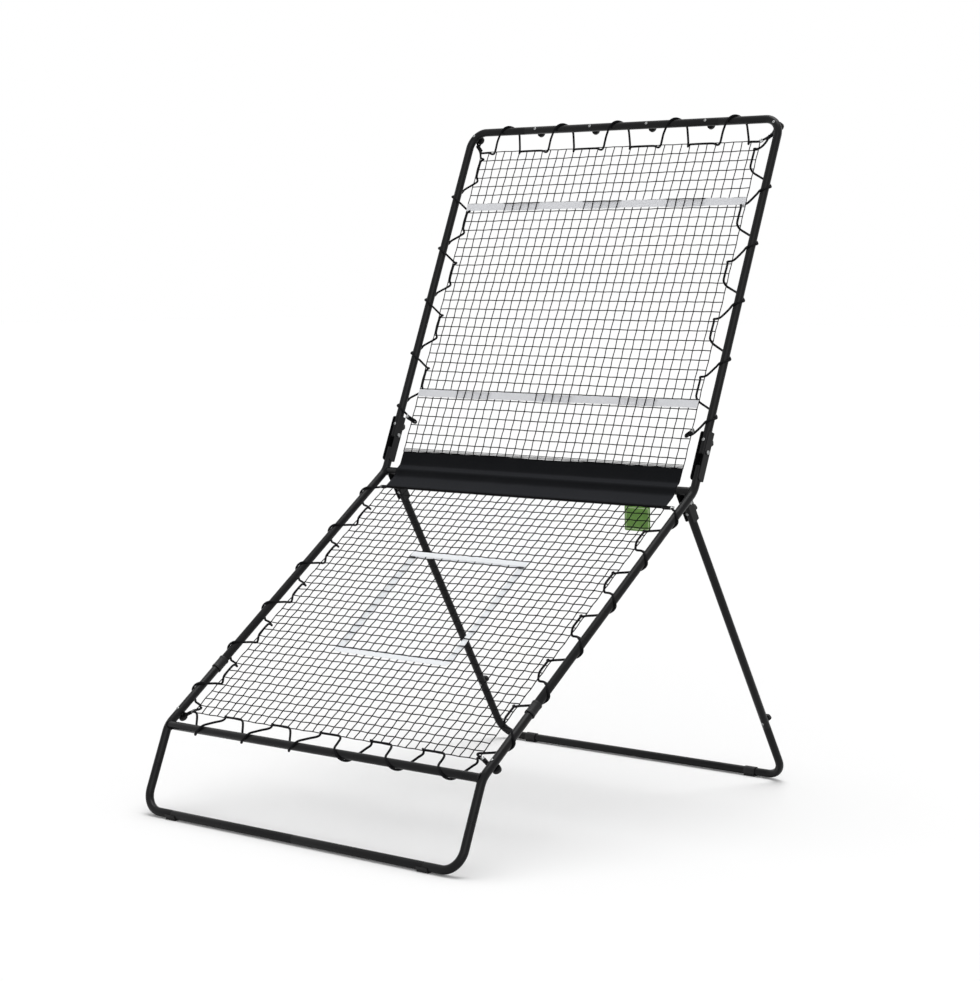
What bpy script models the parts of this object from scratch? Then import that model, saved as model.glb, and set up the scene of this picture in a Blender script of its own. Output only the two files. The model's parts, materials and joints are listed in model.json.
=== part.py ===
# Folding padel rebounder: a tube frame with a sloping lower net and a steep upper net.
# The upper panel folds forward over the ramp and the rear legs fold forward under it.
# Metres, +Z up, +X to the right, the player stands at -Y.
# The origin lies on the floor, in the middle of the footprint.

import math

import bmesh
import bpy
from mathutils import Matrix, Vector

# Frame: lengths between tube centre lines, angles from the floor in degrees
RAIL_SPACING = 1.215
FRONT_LEG_LENGTH = 0.2552
RAMP_LENGTH = 1.1816
UPPER_LENGTH = 1.1844
UPRIGHT_ANGLE = 68.1
RAMP_ANGLE = 36.05
REAR_LEG_ANGLE = 59.04
LEG_INSET = 0.0381          # rear leg centre line, inside the rail's
LEG_LINE_OFFSET = 0.0046    # rear leg line, in front of the middle crossbar's axis

# Tubes and their push-fit joints
TUBE_RADIUS = 0.0125
TUBE_WALL = 0.0012
SPIGOT_CLEARANCE = 0.0008
SPIGOT_LENGTH = 0.045
SPIGOT_SHOULDER = 0.00025
GAP = 0.0003                # between pieces that touch
FOOT_BEND = 0.062
RAIL_BEND = 0.07
TOP_BEND = 0.055
FRONT_LEG_JOINT = 0.135     # up the front leg from the foot bar
FRONT_BAR_JOINT = 0.1195    # along the foot bar from the rail's centre line
REAR_BAR_JOINT = 0.1245
TOP_BAR_JOINT = 0.2245
COLLAR_POSITION = 0.2637    # up the ramp from the lower crossbar
COLLAR_LENGTH = 0.043
COLLAR_WALL = 0.0023
COLLAR_CLEARANCE = 0.0007
REAR_LEG_JOINT = 0.197      # up the rear leg from the foot bar

# Hinge and leg fittings, all along the tube
STUB_LENGTH = 0.078         # hinge stub, from the middle crossbar
SADDLE_ON_STUB = 0.0434
STUB_TO_PIVOT = 0.0435
LEG_PIVOT = 0.0365          # from the middle crossbar
PIVOT_TO_LOCK = 0.0352
LOCK_TO_SADDLE_END = 0.028
LOCK_TO_LEG_SADDLE_END = 0.0313
CLAMP_TO_JOINT = 0.023
SADDLE_CLEARANCE = 0.0007
SADDLE_WALL = 0.0022
SADDLE_LIP = 0.0011         # flange edge, in front of the tube's face
SADDLE_CORNER = 0.008
SADDLE_FOLD = 0.0028        # outer radius of the channel's folded corners
PIN_RADIUS = 0.004
PIN_HEAD_RADIUS = 0.0065
PIN_HEAD_HEIGHT = 0.005
PIN_CLEARANCE = 0.0003
TUBE_END_CLEARANCE = 0.0002
TUBE_END_SPARE = 1.6        # radii of tube past the pivot, before its end is rounded

# Bolts, cap nuts and hand knobs
BOLT_RADIUS = 0.003
BOLT_CLEARANCE = 0.0003
BOLT_HEAD_RADIUS = 0.0055
BOLT_HEAD_EDGE = 0.0015
BOLT_HEAD_HEIGHT = 0.0025
LOCK_HOLE_CLEARANCE = 0.0013
LOCK_TIP_SETBACK = 0.0004   # bolt tip, inside the saddle's back face
CAP_NECK_RADIUS = 0.004
CAP_NECK_LENGTH = 0.0072
CAP_RADIUS = 0.011
CAP_SKIRT = 0.0055
CAP_DOME = 0.006
KNOB_RADIUS = 0.012
KNOB_NECK_RADIUS = 0.0075
KNOB_NECK_LENGTH = 0.003
KNOB_GRIP = 0.0065
KNOB_DOME = 0.0055
KNOB_LOBES = 5
KNOB_LOBE_DEPTH = 0.12
DOME_SHOULDER = (0.6, 0.78)     # share of a dome's radius, and of its height
LOWER_CORNER_BOLT = 0.0565  # up the ramp from the lower crossbar

# Feet
FOOT_PAD = 0.0025
PAD_CLEARANCE = 0.0006
PAD_WIDTH = 0.04
PAD_HALF_FLAT = 0.009
PAD_EASE = 7.0              # degrees round the pad, from its flat to its round side

# Nets, cloth and ribbon
NET_SIDE_MARGIN = 0.0567    # rail centre line to the net's edge
UPPER_NET_FOOT = 0.068      # middle crossbar to the upper net's lower edge
UPPER_NET_MARGIN = 0.0714   # top bar to the upper net's top edge
LOWER_NET_FOOT = 0.0614
LOWER_NET_MARGIN = 0.0784
NET_CELLS = 8
NET_STRAND = 0.003
NET_THICKNESS = 0.002
RIBBON_WIDTH = 0.024
RIBBON_THICKNESS = 0.0008
LOW_RIBBON_HEIGHT = 0.2003  # above the upper net's foot
HIGH_RIBBON_DEPTH = 0.1972  # below the upper net's head
TARGET_WIDTH = 0.450
TARGET_HEIGHT = 0.447
TARGET_CORNER = 0.019       # cut off each outer corner
TARGET_CENTRE = 0.599       # up the ramp from the lower crossbar
CLOTH_THICKNESS = 0.002
CREASE_CLEARANCE = 0.0007
CREASE_HALF_TURN = 25.0
CREASE_BELLY = 0.0035
TAG_WIDTH = 0.093
TAG_HEIGHT = 0.068
TAG_THICKNESS = 0.0012
TAG_TO_NET_EDGE = 0.1028    # tag's middle, from the net's right edge

# Elastic lacing cord: wraps along each edge, and the shares of one pitch
# where its run beside the net ends, and where its ring round the tube starts and ends
CORD_RADIUS = 0.0025
CORD_CLEARANCE = 0.0017
CORD_EDGE_GAP = 0.0005
UPPER_RUN_INSET = 0.0094    # cord's run, inside the net's side edge
LOWER_RUN_INSET = 0.0042
BAR_RUN_INSET = 0.0045      # inside the net's top or bottom edge
RUN_TO_EDGE = 0.004         # along the tube, from a run's end to where the cord leaves the net
SIDE_WRAPS = 5
SIDE_LACE = (0.398, 0.59, 0.86)
SIDE_LACE_HEAD = 0.0988     # below the top bar
SIDE_LACE_TAIL = 0.0156     # below the top of the hinge saddle
TOP_BOLTS = 4
TOP_LACE = (0.493, 0.565, 0.865)
TOP_LACE_INSET = 0.047      # from the side rails
TOP_LACE_SHIFT = -0.0515    # the first run would start beyond the net's edge
RAMP_WRAPS = 6
RAMP_LACE = (0.338, 0.465, 0.85)
RAMP_LACE_TAIL = 0.0818     # up the ramp from the lower crossbar
FOOT_WRAPS = 6
FOOT_LACE_LEFT = (0.345, 0.52, 0.82)
FOOT_LACE_RIGHT = (0.36, 0.53, 0.89)
FOOT_LACE_INSET = 0.0291    # from the ramp rails
FOOT_LACE_SHIFT = -0.032
LOOP_RADIUS = 0.0072        # corner loop, round the neck of a cap nut
LOOP_SPREAD = 0.0045
LOOP_START = 0.8            # share of the way from the bolt to the net's corner
LOOP_APPROACH = 0.03
LOOP_APPROACH_DEPTH = 0.012

SIDES_OF_TUBE = 3           # bevel resolution: ten sides
SIDES_OF_CORD = 1           # six sides
CAP_STEPS = 8
BOLT_STEPS = 10
PIN_STEPS = 12
COLLAR_STEPS = 16
BEND_STEP = 16.0            # degrees per straight piece of a bend


# Derived places

def leaning(angle):
    return Vector((0.0, math.cos(math.radians(angle)), math.sin(math.radians(angle))))


SIDES = {"left": -1.0, "right": 1.0}
X_AXIS = Vector((1.0, 0.0, 0.0))
RAIL_X = RAIL_SPACING / 2
LEG_X = RAIL_X - LEG_INSET
BAR_HEIGHT = TUBE_RADIUS + FOOT_PAD
SPIGOT_RADIUS = TUBE_RADIUS - TUBE_WALL - SPIGOT_CLEARANCE
THROUGH = TUBE_RADIUS * 4
SADDLE_INNER = TUBE_RADIUS + SADDLE_CLEARANCE
SADDLE_OUTER = SADDLE_INNER + SADDLE_WALL
SADDLE_REACH = TUBE_RADIUS + SADDLE_LIP
HINGE_PIVOT = STUB_LENGTH + STUB_TO_PIVOT
HINGE_SADDLE_START = STUB_LENGTH - SADDLE_ON_STUB
HINGE_SADDLE_END = HINGE_PIVOT + PIVOT_TO_LOCK + LOCK_TO_SADDLE_END
LEG_SADDLE_END = LEG_PIVOT + PIVOT_TO_LOCK + LOCK_TO_LEG_SADDLE_END
UPRIGHT = leaning(UPRIGHT_ANGLE)
UPHILL = leaning(RAMP_ANGLE)
LEG_DOWN = Vector((0.0, leaning(REAR_LEG_ANGLE).y, -leaning(REAR_LEG_ANGLE).z))
LEG_BACK = Vector((0.0, leaning(REAR_LEG_ANGLE).z, leaning(REAR_LEG_ANGLE).y))
FRONT_TO_MIDDLE = UPRIGHT * FRONT_LEG_LENGTH + UPHILL * RAMP_LENGTH
LEG_START = FRONT_TO_MIDDLE - LEG_BACK * LEG_LINE_OFFSET
LEG_LENGTH = LEG_START.z / -LEG_DOWN.z
FOOTPRINT = (LEG_START + LEG_DOWN * LEG_LENGTH).y
FRONT_FOOT = Vector((0.0, -FOOTPRINT / 2, BAR_HEIGHT))
LOWER_BEND = FRONT_FOOT + UPRIGHT * FRONT_LEG_LENGTH
MIDDLE = LOWER_BEND + UPHILL * RAMP_LENGTH
LEG_JOINT = LEG_LENGTH - REAR_LEG_JOINT
LEG_CLAMP = LEG_JOINT - CLAMP_TO_JOINT
NET_HALF = RAIL_X - NET_SIDE_MARGIN
UPPER_NET_HEAD = UPPER_LENGTH - UPPER_NET_MARGIN
LOWER_NET_HEAD = RAMP_LENGTH - LOWER_NET_MARGIN
TOP_PITCH = (RAIL_SPACING - TOP_LACE_INSET * 2) / (TOP_BOLTS + 1)
CORD_FRONT = NET_THICKNESS / 2 + GAP + RIBBON_THICKNESS + CORD_EDGE_GAP + CORD_RADIUS
CORD_EDGE = CORD_RADIUS + CORD_EDGE_GAP


class Panel:
    # A flat side of the frame: along runs up or down it, back points away from the player.
    def __init__(self, origin, along, back):
        self.origin = origin
        self.along = along
        self.back = back

    def at(self, x, along=0.0, back=0.0):
        return self.origin + X_AXIS * x + self.along * along + self.back * back

    def matrix(self, x, along, back=0.0):
        # local x runs across, y points back, z follows from them
        across = X_AXIS
        up = across.cross(self.back)
        turn = Matrix((across, self.back, up)).transposed().to_4x4()
        return Matrix.Translation(self.at(x, along, back)) @ turn


FRONT_LEGS = Panel(FRONT_FOOT, UPRIGHT, Vector((0.0, UPRIGHT.z, -UPRIGHT.y)))
RAMP = Panel(LOWER_BEND, UPHILL, Vector((0.0, UPHILL.z, -UPHILL.y)))
UPPER = Panel(MIDDLE, UPRIGHT, Vector((0.0, UPRIGHT.z, -UPRIGHT.y)))
LEGS = Panel(MIDDLE - LEG_BACK * LEG_LINE_OFFSET, LEG_DOWN, LEG_BACK)


# Scene

def clear_scene():
    for item in list(bpy.data.objects):
        bpy.data.objects.remove(item, do_unlink=True)


def new_collection(name):
    collection = bpy.data.collections.new(name)
    bpy.context.scene.collection.children.link(collection)
    return collection


clear_scene()
PARTS = new_collection("padel_rebounder")
CUTTERS = new_collection("cutters")
MATERIALS = {}
HINGES = {}


def material(name, colour, roughness, metallic=0.0):
    made = bpy.data.materials.new(name)
    made.use_nodes = True
    shader = made.node_tree.nodes["Principled BSDF"]
    linear = [(c / 12.92 if c <= 0.04045 else ((c + 0.055) / 1.055) ** 2.4) for c in colour]
    shader.inputs["Base Color"].default_value = (*linear, 1.0)
    shader.inputs["Roughness"].default_value = roughness
    shader.inputs["Metallic"].default_value = metallic
    made.diffuse_color = (*colour, 1.0)
    MATERIALS[name] = made


def make_materials():
    material("black_powder_coat", (0.13, 0.13, 0.135), 0.42)
    material("black_plastic", (0.08, 0.08, 0.085), 0.5)
    material("zinc_plate", (0.85, 0.85, 0.83), 0.3, 1.0)
    material("black_elastic", (0.1, 0.1, 0.11), 0.75)
    material("black_net", (0.16, 0.16, 0.17), 0.8)
    material("black_cloth", (0.13, 0.135, 0.14), 0.85)
    material("white_ribbon", (0.91, 0.91, 0.93), 0.7)
    material("green_card", (0.32, 0.5, 0.15), 0.6)


def add_hinge(name, place):
    empty = bpy.data.objects.new(name, None)
    empty.empty_display_size = 0.05
    empty.location = place
    PARTS.objects.link(empty)
    HINGES[name] = empty


def put(item, material_name, hinge=None, smooth=True):
    item.data.materials.clear()
    item.data.materials.append(MATERIALS[material_name])
    if item.type == "MESH" and smooth:
        item.data.shade_smooth()
        item.data.set_sharp_from_angle(angle=math.radians(40.0))
    if hinge:
        parent = HINGES[hinge]
        item.parent = parent
        item.matrix_parent_inverse = Matrix.Translation(-parent.location)
    return item


def mesh_object(name, mesh, collection=PARTS, matrix=None):
    item = bpy.data.objects.new(name, mesh)
    collection.objects.link(item)
    if matrix:
        item.matrix_world = matrix
    return item


# Tubes

def bent_path(corners, radius):
    # Straight runs joined by round bends of one radius
    path = [corners[0]]
    for before, corner, after in zip(corners, corners[1:], corners[2:]):
        arriving = (corner - before).normalized()
        leaving = (after - corner).normalized()
        turn = arriving.angle(leaving)
        centre = corner + (leaving - arriving).normalized() * radius / math.cos(turn / 2)
        start = corner - arriving * radius * math.tan(turn / 2) - centre
        axis = arriving.cross(leaving)
        steps = max(3, math.ceil(math.degrees(turn) / BEND_STEP))
        for step in range(steps + 1):
            path.append(centre + Matrix.Rotation(turn * step / steps, 3, axis) @ start)
    path.append(corners[-1])
    return path


def swept_curve(name, points, factors, radius, resolution, capped):
    curve = bpy.data.curves.new(name, "CURVE")
    curve.dimensions = "3D"
    curve.bevel_depth = radius
    curve.bevel_resolution = resolution
    curve.use_fill_caps = capped
    spline = curve.splines.new("POLY")
    spline.points.add(len(points) - 1)
    for knot, place, factor in zip(spline.points, points, factors):
        knot.co = (*place, 1.0)
        knot.radius = factor
    return curve


def curve_to_mesh(name, curve):
    holder = bpy.data.objects.new(name, curve)
    PARTS.objects.link(holder)
    bpy.context.view_layer.update()
    graph = bpy.context.evaluated_depsgraph_get()
    mesh = bpy.data.meshes.new_from_object(holder.evaluated_get(graph))
    mesh.name = name
    bpy.data.objects.remove(holder)
    bpy.data.curves.remove(curve)
    return mesh


def weld(mesh, recalculate):
    work = bmesh.new()
    work.from_mesh(mesh)
    bmesh.ops.remove_doubles(work, verts=work.verts, dist=0.000001)
    if recalculate:
        bmesh.ops.recalc_face_normals(work, faces=work.faces)
    work.to_mesh(mesh)
    work.free()


def face_out(mesh, points):
    # An open tube's faces point away from its centre line
    face = mesh.polygons[0]
    nearest = min(points, key=lambda point: (point - face.center).length)
    if face.normal.dot(face.center - nearest) < 0:
        mesh.flip_normals()


def tube(name, points, hinge=None, spigot=False):
    # A hollow tube; a spigot is the swaged end that plugs into the next tube
    factors = [1.0] * len(points)
    if spigot:
        end = points[-1]
        ahead = (end - points[-2]).normalized()
        points = points + [end + ahead * SPIGOT_SHOULDER, end + ahead * SPIGOT_LENGTH]
        factors = factors + [SPIGOT_RADIUS / TUBE_RADIUS] * 2
    curve = swept_curve(name, points, factors, TUBE_RADIUS, SIDES_OF_TUBE, False)
    mesh = curve_to_mesh(name, curve)
    weld(mesh, True)
    face_out(mesh, points)
    item = mesh_object(name, mesh)
    wall = item.modifiers.new("tube_wall", "SOLIDIFY")
    wall.thickness = TUBE_WALL
    wall.offset = -1.0
    wall.use_even_offset = True
    return put(item, "black_powder_coat", hinge)


def solid_sweep(name, points, radius, resolution):
    curve = swept_curve(name, points, [1.0] * len(points), radius, resolution, True)
    mesh = curve_to_mesh(name, curve)
    weld(mesh, True)
    return mesh


# Cutters

def cutter(name, mesh, matrix=None):
    item = mesh_object(name, mesh, CUTTERS, matrix)
    item.hide_render = True
    item.display_type = "WIRE"
    return item


def cut(item, tool):
    step = item.modifiers.new(tool.name, "BOOLEAN")
    step.operation = "DIFFERENCE"
    step.solver = "EXACT"
    step.object = tool


def drill(items, name, centre, direction, radius, length):
    mesh = bpy.data.meshes.new(name)
    work = bmesh.new()
    bmesh.ops.create_cone(work, cap_ends=True, segments=12, radius1=radius, radius2=radius, depth=length)
    work.to_mesh(mesh)
    work.free()
    turn = direction.to_track_quat("Z", "Y").to_matrix().to_4x4()
    tool = cutter(name, mesh, Matrix.Translation(centre) @ turn)
    for item in items:
        cut(item, tool)


def rail_cutter(name, points):
    # Its flat sides clear the tube by the gap
    sides = 4 + 2 * (SIDES_OF_TUBE + 1)
    radius = (TUBE_RADIUS + GAP) / math.cos(math.pi / sides)
    return cutter(name, solid_sweep(name, points, radius, SIDES_OF_TUBE + 1))


# Flat outlines and turned shapes

def arc(centre_x, centre_y, radius, start, end, steps):
    angles = [math.radians(start + (end - start) * step / steps) for step in range(steps + 1)]
    return [(centre_x + radius * math.cos(a), centre_y + radius * math.sin(a)) for a in angles]


def plate_mesh(name, outlines, thickness):
    curve = bpy.data.curves.new(name, "CURVE")
    curve.dimensions = "2D"
    curve.fill_mode = "BOTH"
    curve.extrude = thickness / 2
    for outline in outlines:
        spline = curve.splines.new("POLY")
        spline.points.add(len(outline) - 1)
        for knot, (x, y) in zip(spline.points, outline):
            knot.co = (x, y, 0.0, 1.0)
        spline.use_cyclic_u = True
    mesh = curve_to_mesh(name, curve)
    weld(mesh, True)
    return mesh


def turned_mesh(name, profile, steps):
    # The profile's (radius, height) points run down the outer side, top to bottom
    mesh = bpy.data.meshes.new(name)
    mesh.from_pydata([(r, 0.0, z) for r, z in profile], [(i, i + 1) for i in range(len(profile) - 1)], [])
    holder = mesh_object(name, mesh)
    screw = holder.modifiers.new("turned", "SCREW")
    screw.steps = steps
    screw.render_steps = steps
    screw.use_merge_vertices = True
    screw.merge_threshold = 0.00001
    bpy.context.view_layer.update()
    graph = bpy.context.evaluated_depsgraph_get()
    turned = bpy.data.meshes.new_from_object(holder.evaluated_get(graph))
    turned.name = name
    bpy.data.objects.remove(holder)
    bpy.data.meshes.remove(mesh)
    weld(turned, True)
    return turned


def facing(place, direction):
    return Matrix.Translation(place) @ direction.to_track_quat("Z", "Y").to_matrix().to_4x4()


def dome(foot, radius, height):
    shoulder_radius, shoulder_height = DOME_SHOULDER
    return [(0.0, foot + height), (radius * shoulder_radius, foot + height * shoulder_height), (radius, foot)]


def bolt_head(foot):
    return [(BOLT_RADIUS, foot), (BOLT_HEAD_RADIUS, foot),
            (BOLT_HEAD_RADIUS, foot - BOLT_HEAD_EDGE),
            (BOLT_HEAD_RADIUS * DOME_SHOULDER[0], foot - BOLT_HEAD_HEIGHT), (0.0, foot - BOLT_HEAD_HEIGHT)]


def cap_bolt(name, place, direction, hinge=None):
    # A bolt through the tube with its head in front and a domed cap nut behind
    seat = TUBE_RADIUS + GAP
    skirt = seat + CAP_NECK_LENGTH
    crown = skirt + CAP_SKIRT
    profile = dome(crown, CAP_RADIUS, CAP_DOME)
    profile += [(CAP_RADIUS, skirt), (CAP_NECK_RADIUS, skirt), (CAP_NECK_RADIUS, seat),
                (BOLT_RADIUS, seat)] + bolt_head(-seat)
    item = mesh_object(name, turned_mesh(name, profile, CAP_STEPS), matrix=facing(place, direction))
    return put(item, "black_plastic", hinge)


def star_knob(name, place, direction, seat, through, hinge=None):
    # A grip with lobes; the clamp screws carry their bolt, the lock knobs do not
    neck = seat + KNOB_NECK_LENGTH
    crown = neck + KNOB_GRIP
    profile = dome(crown, KNOB_RADIUS, KNOB_DOME)
    profile += [(KNOB_RADIUS, neck), (KNOB_NECK_RADIUS, neck), (KNOB_NECK_RADIUS, seat)]
    profile += [(BOLT_RADIUS, seat)] + bolt_head(-TUBE_RADIUS - GAP) if through else [(0.0, seat)]
    mesh = turned_mesh(name, profile, KNOB_LOBES * 3)
    for vertex in mesh.vertices:
        if math.hypot(vertex.co.x, vertex.co.y) > KNOB_NECK_RADIUS + GAP:
            turn = math.atan2(vertex.co.y, vertex.co.x)
            shrink = 1.0 - KNOB_LOBE_DEPTH * (1.0 - math.cos(KNOB_LOBES * turn)) / 2
            vertex.co.x *= shrink
            vertex.co.y *= shrink
    item = mesh_object(name, mesh, matrix=facing(place, direction))
    return put(item, "black_plastic", hinge)


def lock_bolt(name, place, direction, hinge):
    tip = SADDLE_OUTER - LOCK_TIP_SETBACK
    profile = [(0.0, tip), (BOLT_RADIUS, tip)] + bolt_head(-TUBE_RADIUS - GAP)
    item = mesh_object(name, turned_mesh(name, profile, BOLT_STEPS), matrix=facing(place, direction))
    return put(item, "zinc_plate", hinge)


def pin(name, place):
    face = SADDLE_OUTER + GAP
    end = face + PIN_HEAD_HEIGHT
    profile = [(0.0, end), (PIN_HEAD_RADIUS, end), (PIN_HEAD_RADIUS, face), (PIN_RADIUS, face),
               (PIN_RADIUS, -face), (PIN_HEAD_RADIUS, -face), (PIN_HEAD_RADIUS, -end), (0.0, -end)]
    item = mesh_object(name, turned_mesh(name, profile, PIN_STEPS), matrix=facing(place, X_AXIS))
    return put(item, "zinc_plate")


# Hinge saddles

def saddle_mesh(name, length):
    # A folded channel: flat web behind the tube, straight flanges forward, their ends rounded
    fold = SADDLE_OUTER - SADDLE_FOLD
    outline = [(SADDLE_OUTER, -SADDLE_REACH)] + arc(fold, fold, SADDLE_FOLD, 0.0, 90.0, 3)
    outline += arc(-fold, fold, SADDLE_FOLD, 90.0, 180.0, 3)
    outline += [(-SADDLE_OUTER, -SADDLE_REACH), (-SADDLE_INNER, -SADDLE_REACH)]
    outline += arc(-fold, fold, SADDLE_FOLD - SADDLE_WALL, 180.0, 90.0, 2)
    outline += arc(fold, fold, SADDLE_FOLD - SADDLE_WALL, 90.0, 0.0, 2) + [(SADDLE_INNER, -SADDLE_REACH)]
    mesh = plate_mesh(name, [outline], length)
    work = bmesh.new()
    work.from_mesh(mesh)
    bmesh.ops.dissolve_limit(work, angle_limit=0.01, verts=work.verts, edges=work.edges)
    corners = []
    for edge in work.edges:
        a, b = edge.verts
        at_edge = abs(a.co.y + SADDLE_REACH) < 1e-5 and abs(b.co.y + SADDLE_REACH) < 1e-5
        if at_edge and abs(a.co.z - b.co.z) < 1e-6:
            corners.append(edge)
    bmesh.ops.bevel(work, geom=corners, offset=SADDLE_CORNER, segments=3, profile=0.5, affect="EDGES")
    work.to_mesh(mesh)
    work.free()
    return mesh


def round_end(item, name, panel, x, pivot, outward):
    # Cuts the tube's end to a half round about the pivot; outward points past the end
    radius = TUBE_RADIUS + TUBE_END_CLEARANCE
    reach = TUBE_RADIUS * 2
    outline = [(-reach, 0.0)] + arc(0.0, 0.0, radius, 180.0, 0.0, 10) + [(reach, 0.0)]
    outline += [(reach, reach), (-reach, reach)]
    mesh = plate_mesh(name, [outline], reach * 2)
    across = X_AXIS
    side = outward.cross(across)
    turn = Matrix((side, outward, side.cross(outward))).transposed().to_4x4()
    cut(item, cutter(name, mesh, Matrix.Translation(panel.at(x, pivot)) @ turn))


# Frame pieces

def front_foot():
    for side, sign in SIDES.items():
        x = sign * RAIL_X
        joint_x = sign * (RAIL_X - FRONT_BAR_JOINT)
        corner = [FRONT_LEGS.at(joint_x + sign * GAP), FRONT_LEGS.at(x), FRONT_LEGS.at(x, FRONT_LEG_JOINT)]
        tube("front_foot_bend_" + side, bent_path(corner, FOOT_BEND), spigot=True)
    tube("front_foot_bar_left", [FRONT_LEGS.at(-GAP / 2), FRONT_LEGS.at(FRONT_BAR_JOINT - RAIL_X)], spigot=True)
    middle = FRONT_LEGS.at(RAIL_X - FRONT_BAR_JOINT)
    tube("front_foot_bar_right", [middle, FRONT_LEGS.at(GAP / 2)], spigot=True)


def lower_rails():
    cutters = []
    for side, sign in SIDES.items():
        x = sign * RAIL_X
        corners = [FRONT_LEGS.at(x, FRONT_LEG_JOINT + GAP), LOWER_BEND + X_AXIS * x,
                   RAMP.at(x, COLLAR_POSITION)]
        path = bent_path(corners, RAIL_BEND)
        rail = tube("lower_rail_" + side, path, spigot=True)
        drill([rail], "lower_corner_hole_" + side, RAMP.at(x, LOWER_CORNER_BOLT), RAMP.back,
              BOLT_RADIUS + BOLT_CLEARANCE, THROUGH)
        cutters.append(rail_cutter("lower_rail_outline_" + side, path))
        ring = turned_collar("rail_collar_" + side)
        ring.matrix_world = facing(RAMP.at(x, COLLAR_POSITION), UPHILL)
    bar = tube("lower_crossbar", [RAMP.at(-RAIL_X), RAMP.at(RAIL_X)])
    for tool in cutters:
        cut(bar, tool)


def turned_collar(name):
    inner = TUBE_RADIUS + COLLAR_CLEARANCE
    outer = inner + COLLAR_WALL
    half = COLLAR_LENGTH / 2
    profile = [(inner, half), (outer, half), (outer, -half), (inner, -half), (inner, half)]
    return put(mesh_object(name, turned_mesh(name, profile, COLLAR_STEPS)), "black_plastic")


def upper_ramp_rails():
    cutters = []
    for side, sign in SIDES.items():
        x = sign * RAIL_X
        corners = [RAMP.at(x, COLLAR_POSITION + GAP), MIDDLE + X_AXIS * x, UPPER.at(x, STUB_LENGTH)]
        path = bent_path(corners, RAIL_BEND)
        tube("upper_ramp_rail_" + side, path)
        cutters.append(rail_cutter("upper_ramp_rail_outline_" + side, path))
    bar = tube("middle_crossbar", [UPPER.at(-RAIL_X), UPPER.at(RAIL_X)])
    for tool in cutters:
        cut(bar, tool)
    return rail_cutter("middle_crossbar_outline", [UPPER.at(-RAIL_X), UPPER.at(RAIL_X)])


def side_rails():
    for side, sign in SIDES.items():
        x = sign * RAIL_X
        top = UPPER.at(x, UPPER_LENGTH)
        joint = UPPER.at(sign * (RAIL_X - TOP_BAR_JOINT), UPPER_LENGTH)
        start = UPPER.at(x, HINGE_PIVOT - TUBE_RADIUS * TUBE_END_SPARE)
        rail = tube("side_rail_" + side, bent_path([start, top, joint], TOP_BEND), "upper_panel_hinge")
        round_end(rail, "side_rail_end_" + side, UPPER, x, HINGE_PIVOT, -UPRIGHT)
        fit_hinge(rail, "hinge_" + side, UPPER, x, HINGE_PIVOT, PIVOT_TO_LOCK)
        corner_x, corner_s = top_corner(sign)
        place = UPPER.at(corner_x, corner_s)
        drill([rail], "top_corner_hole_" + side, place, UPPER.back, BOLT_RADIUS + BOLT_CLEARANCE, THROUGH)
        cap_bolt("top_corner_bolt_" + side, place, UPPER.back, "upper_panel_hinge")


def top_corner(sign):
    # Middle of the round top bend
    inset = TOP_BEND * (1.0 - math.sqrt(0.5))
    return sign * (RAIL_X - inset), UPPER_LENGTH - inset


def fit_hinge(item, name, panel, x, pivot, lock_distance):
    drill([item], name + "_pin_hole", panel.at(x, pivot), X_AXIS, PIN_RADIUS + PIN_CLEARANCE, THROUGH)
    drill([item], name + "_bolt_hole", panel.at(x, pivot + lock_distance), panel.back,
          BOLT_RADIUS + BOLT_CLEARANCE, THROUGH)


def top_bar():
    half = RAIL_X - TOP_BAR_JOINT - GAP
    left = UPPER.at(-half, UPPER_LENGTH)
    right = UPPER.at(half, UPPER_LENGTH)
    bar = tube("top_bar", [left, right], "upper_panel_hinge")
    extend_with_spigots(bar, left, right)
    for number in range(TOP_BOLTS):
        place = UPPER.at((number - (TOP_BOLTS - 1) / 2) * TOP_PITCH, UPPER_LENGTH)
        name = "top_bar_bolt_" + str(number + 1)
        drill([bar], name + "_hole", place, UPPER.back, BOLT_RADIUS + BOLT_CLEARANCE, THROUGH)
        cap_bolt(name, place, UPPER.back, "upper_panel_hinge")


def extend_with_spigots(item, first, last):
    # Swages both ends of a straight bar: the end rings move out and shrink onto the spigot
    ahead = (last - first).normalized()
    mesh = item.data
    work = bmesh.new()
    work.from_mesh(mesh)
    for end, direction in ((first, -ahead), (last, ahead)):
        for distance in (SPIGOT_SHOULDER, SPIGOT_LENGTH):
            rim = [e for e in work.edges if e.is_boundary and
                   all((v.co - end).dot(direction) > -0.0001 for v in e.verts)]
            grown = bmesh.ops.extrude_edge_only(work, edges=rim)
            ring = [v for v in grown["geom"] if isinstance(v, bmesh.types.BMVert)]
            for vertex in ring:
                offset = vertex.co - end
                radial = offset - direction * offset.dot(direction)
                vertex.co = end + direction * distance + radial.normalized() * SPIGOT_RADIUS
    bmesh.ops.recalc_face_normals(work, faces=work.faces)
    work.to_mesh(mesh)
    work.free()
    face_out(mesh, [first.lerp(last, step / 40) for step in range(41)])


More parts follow.
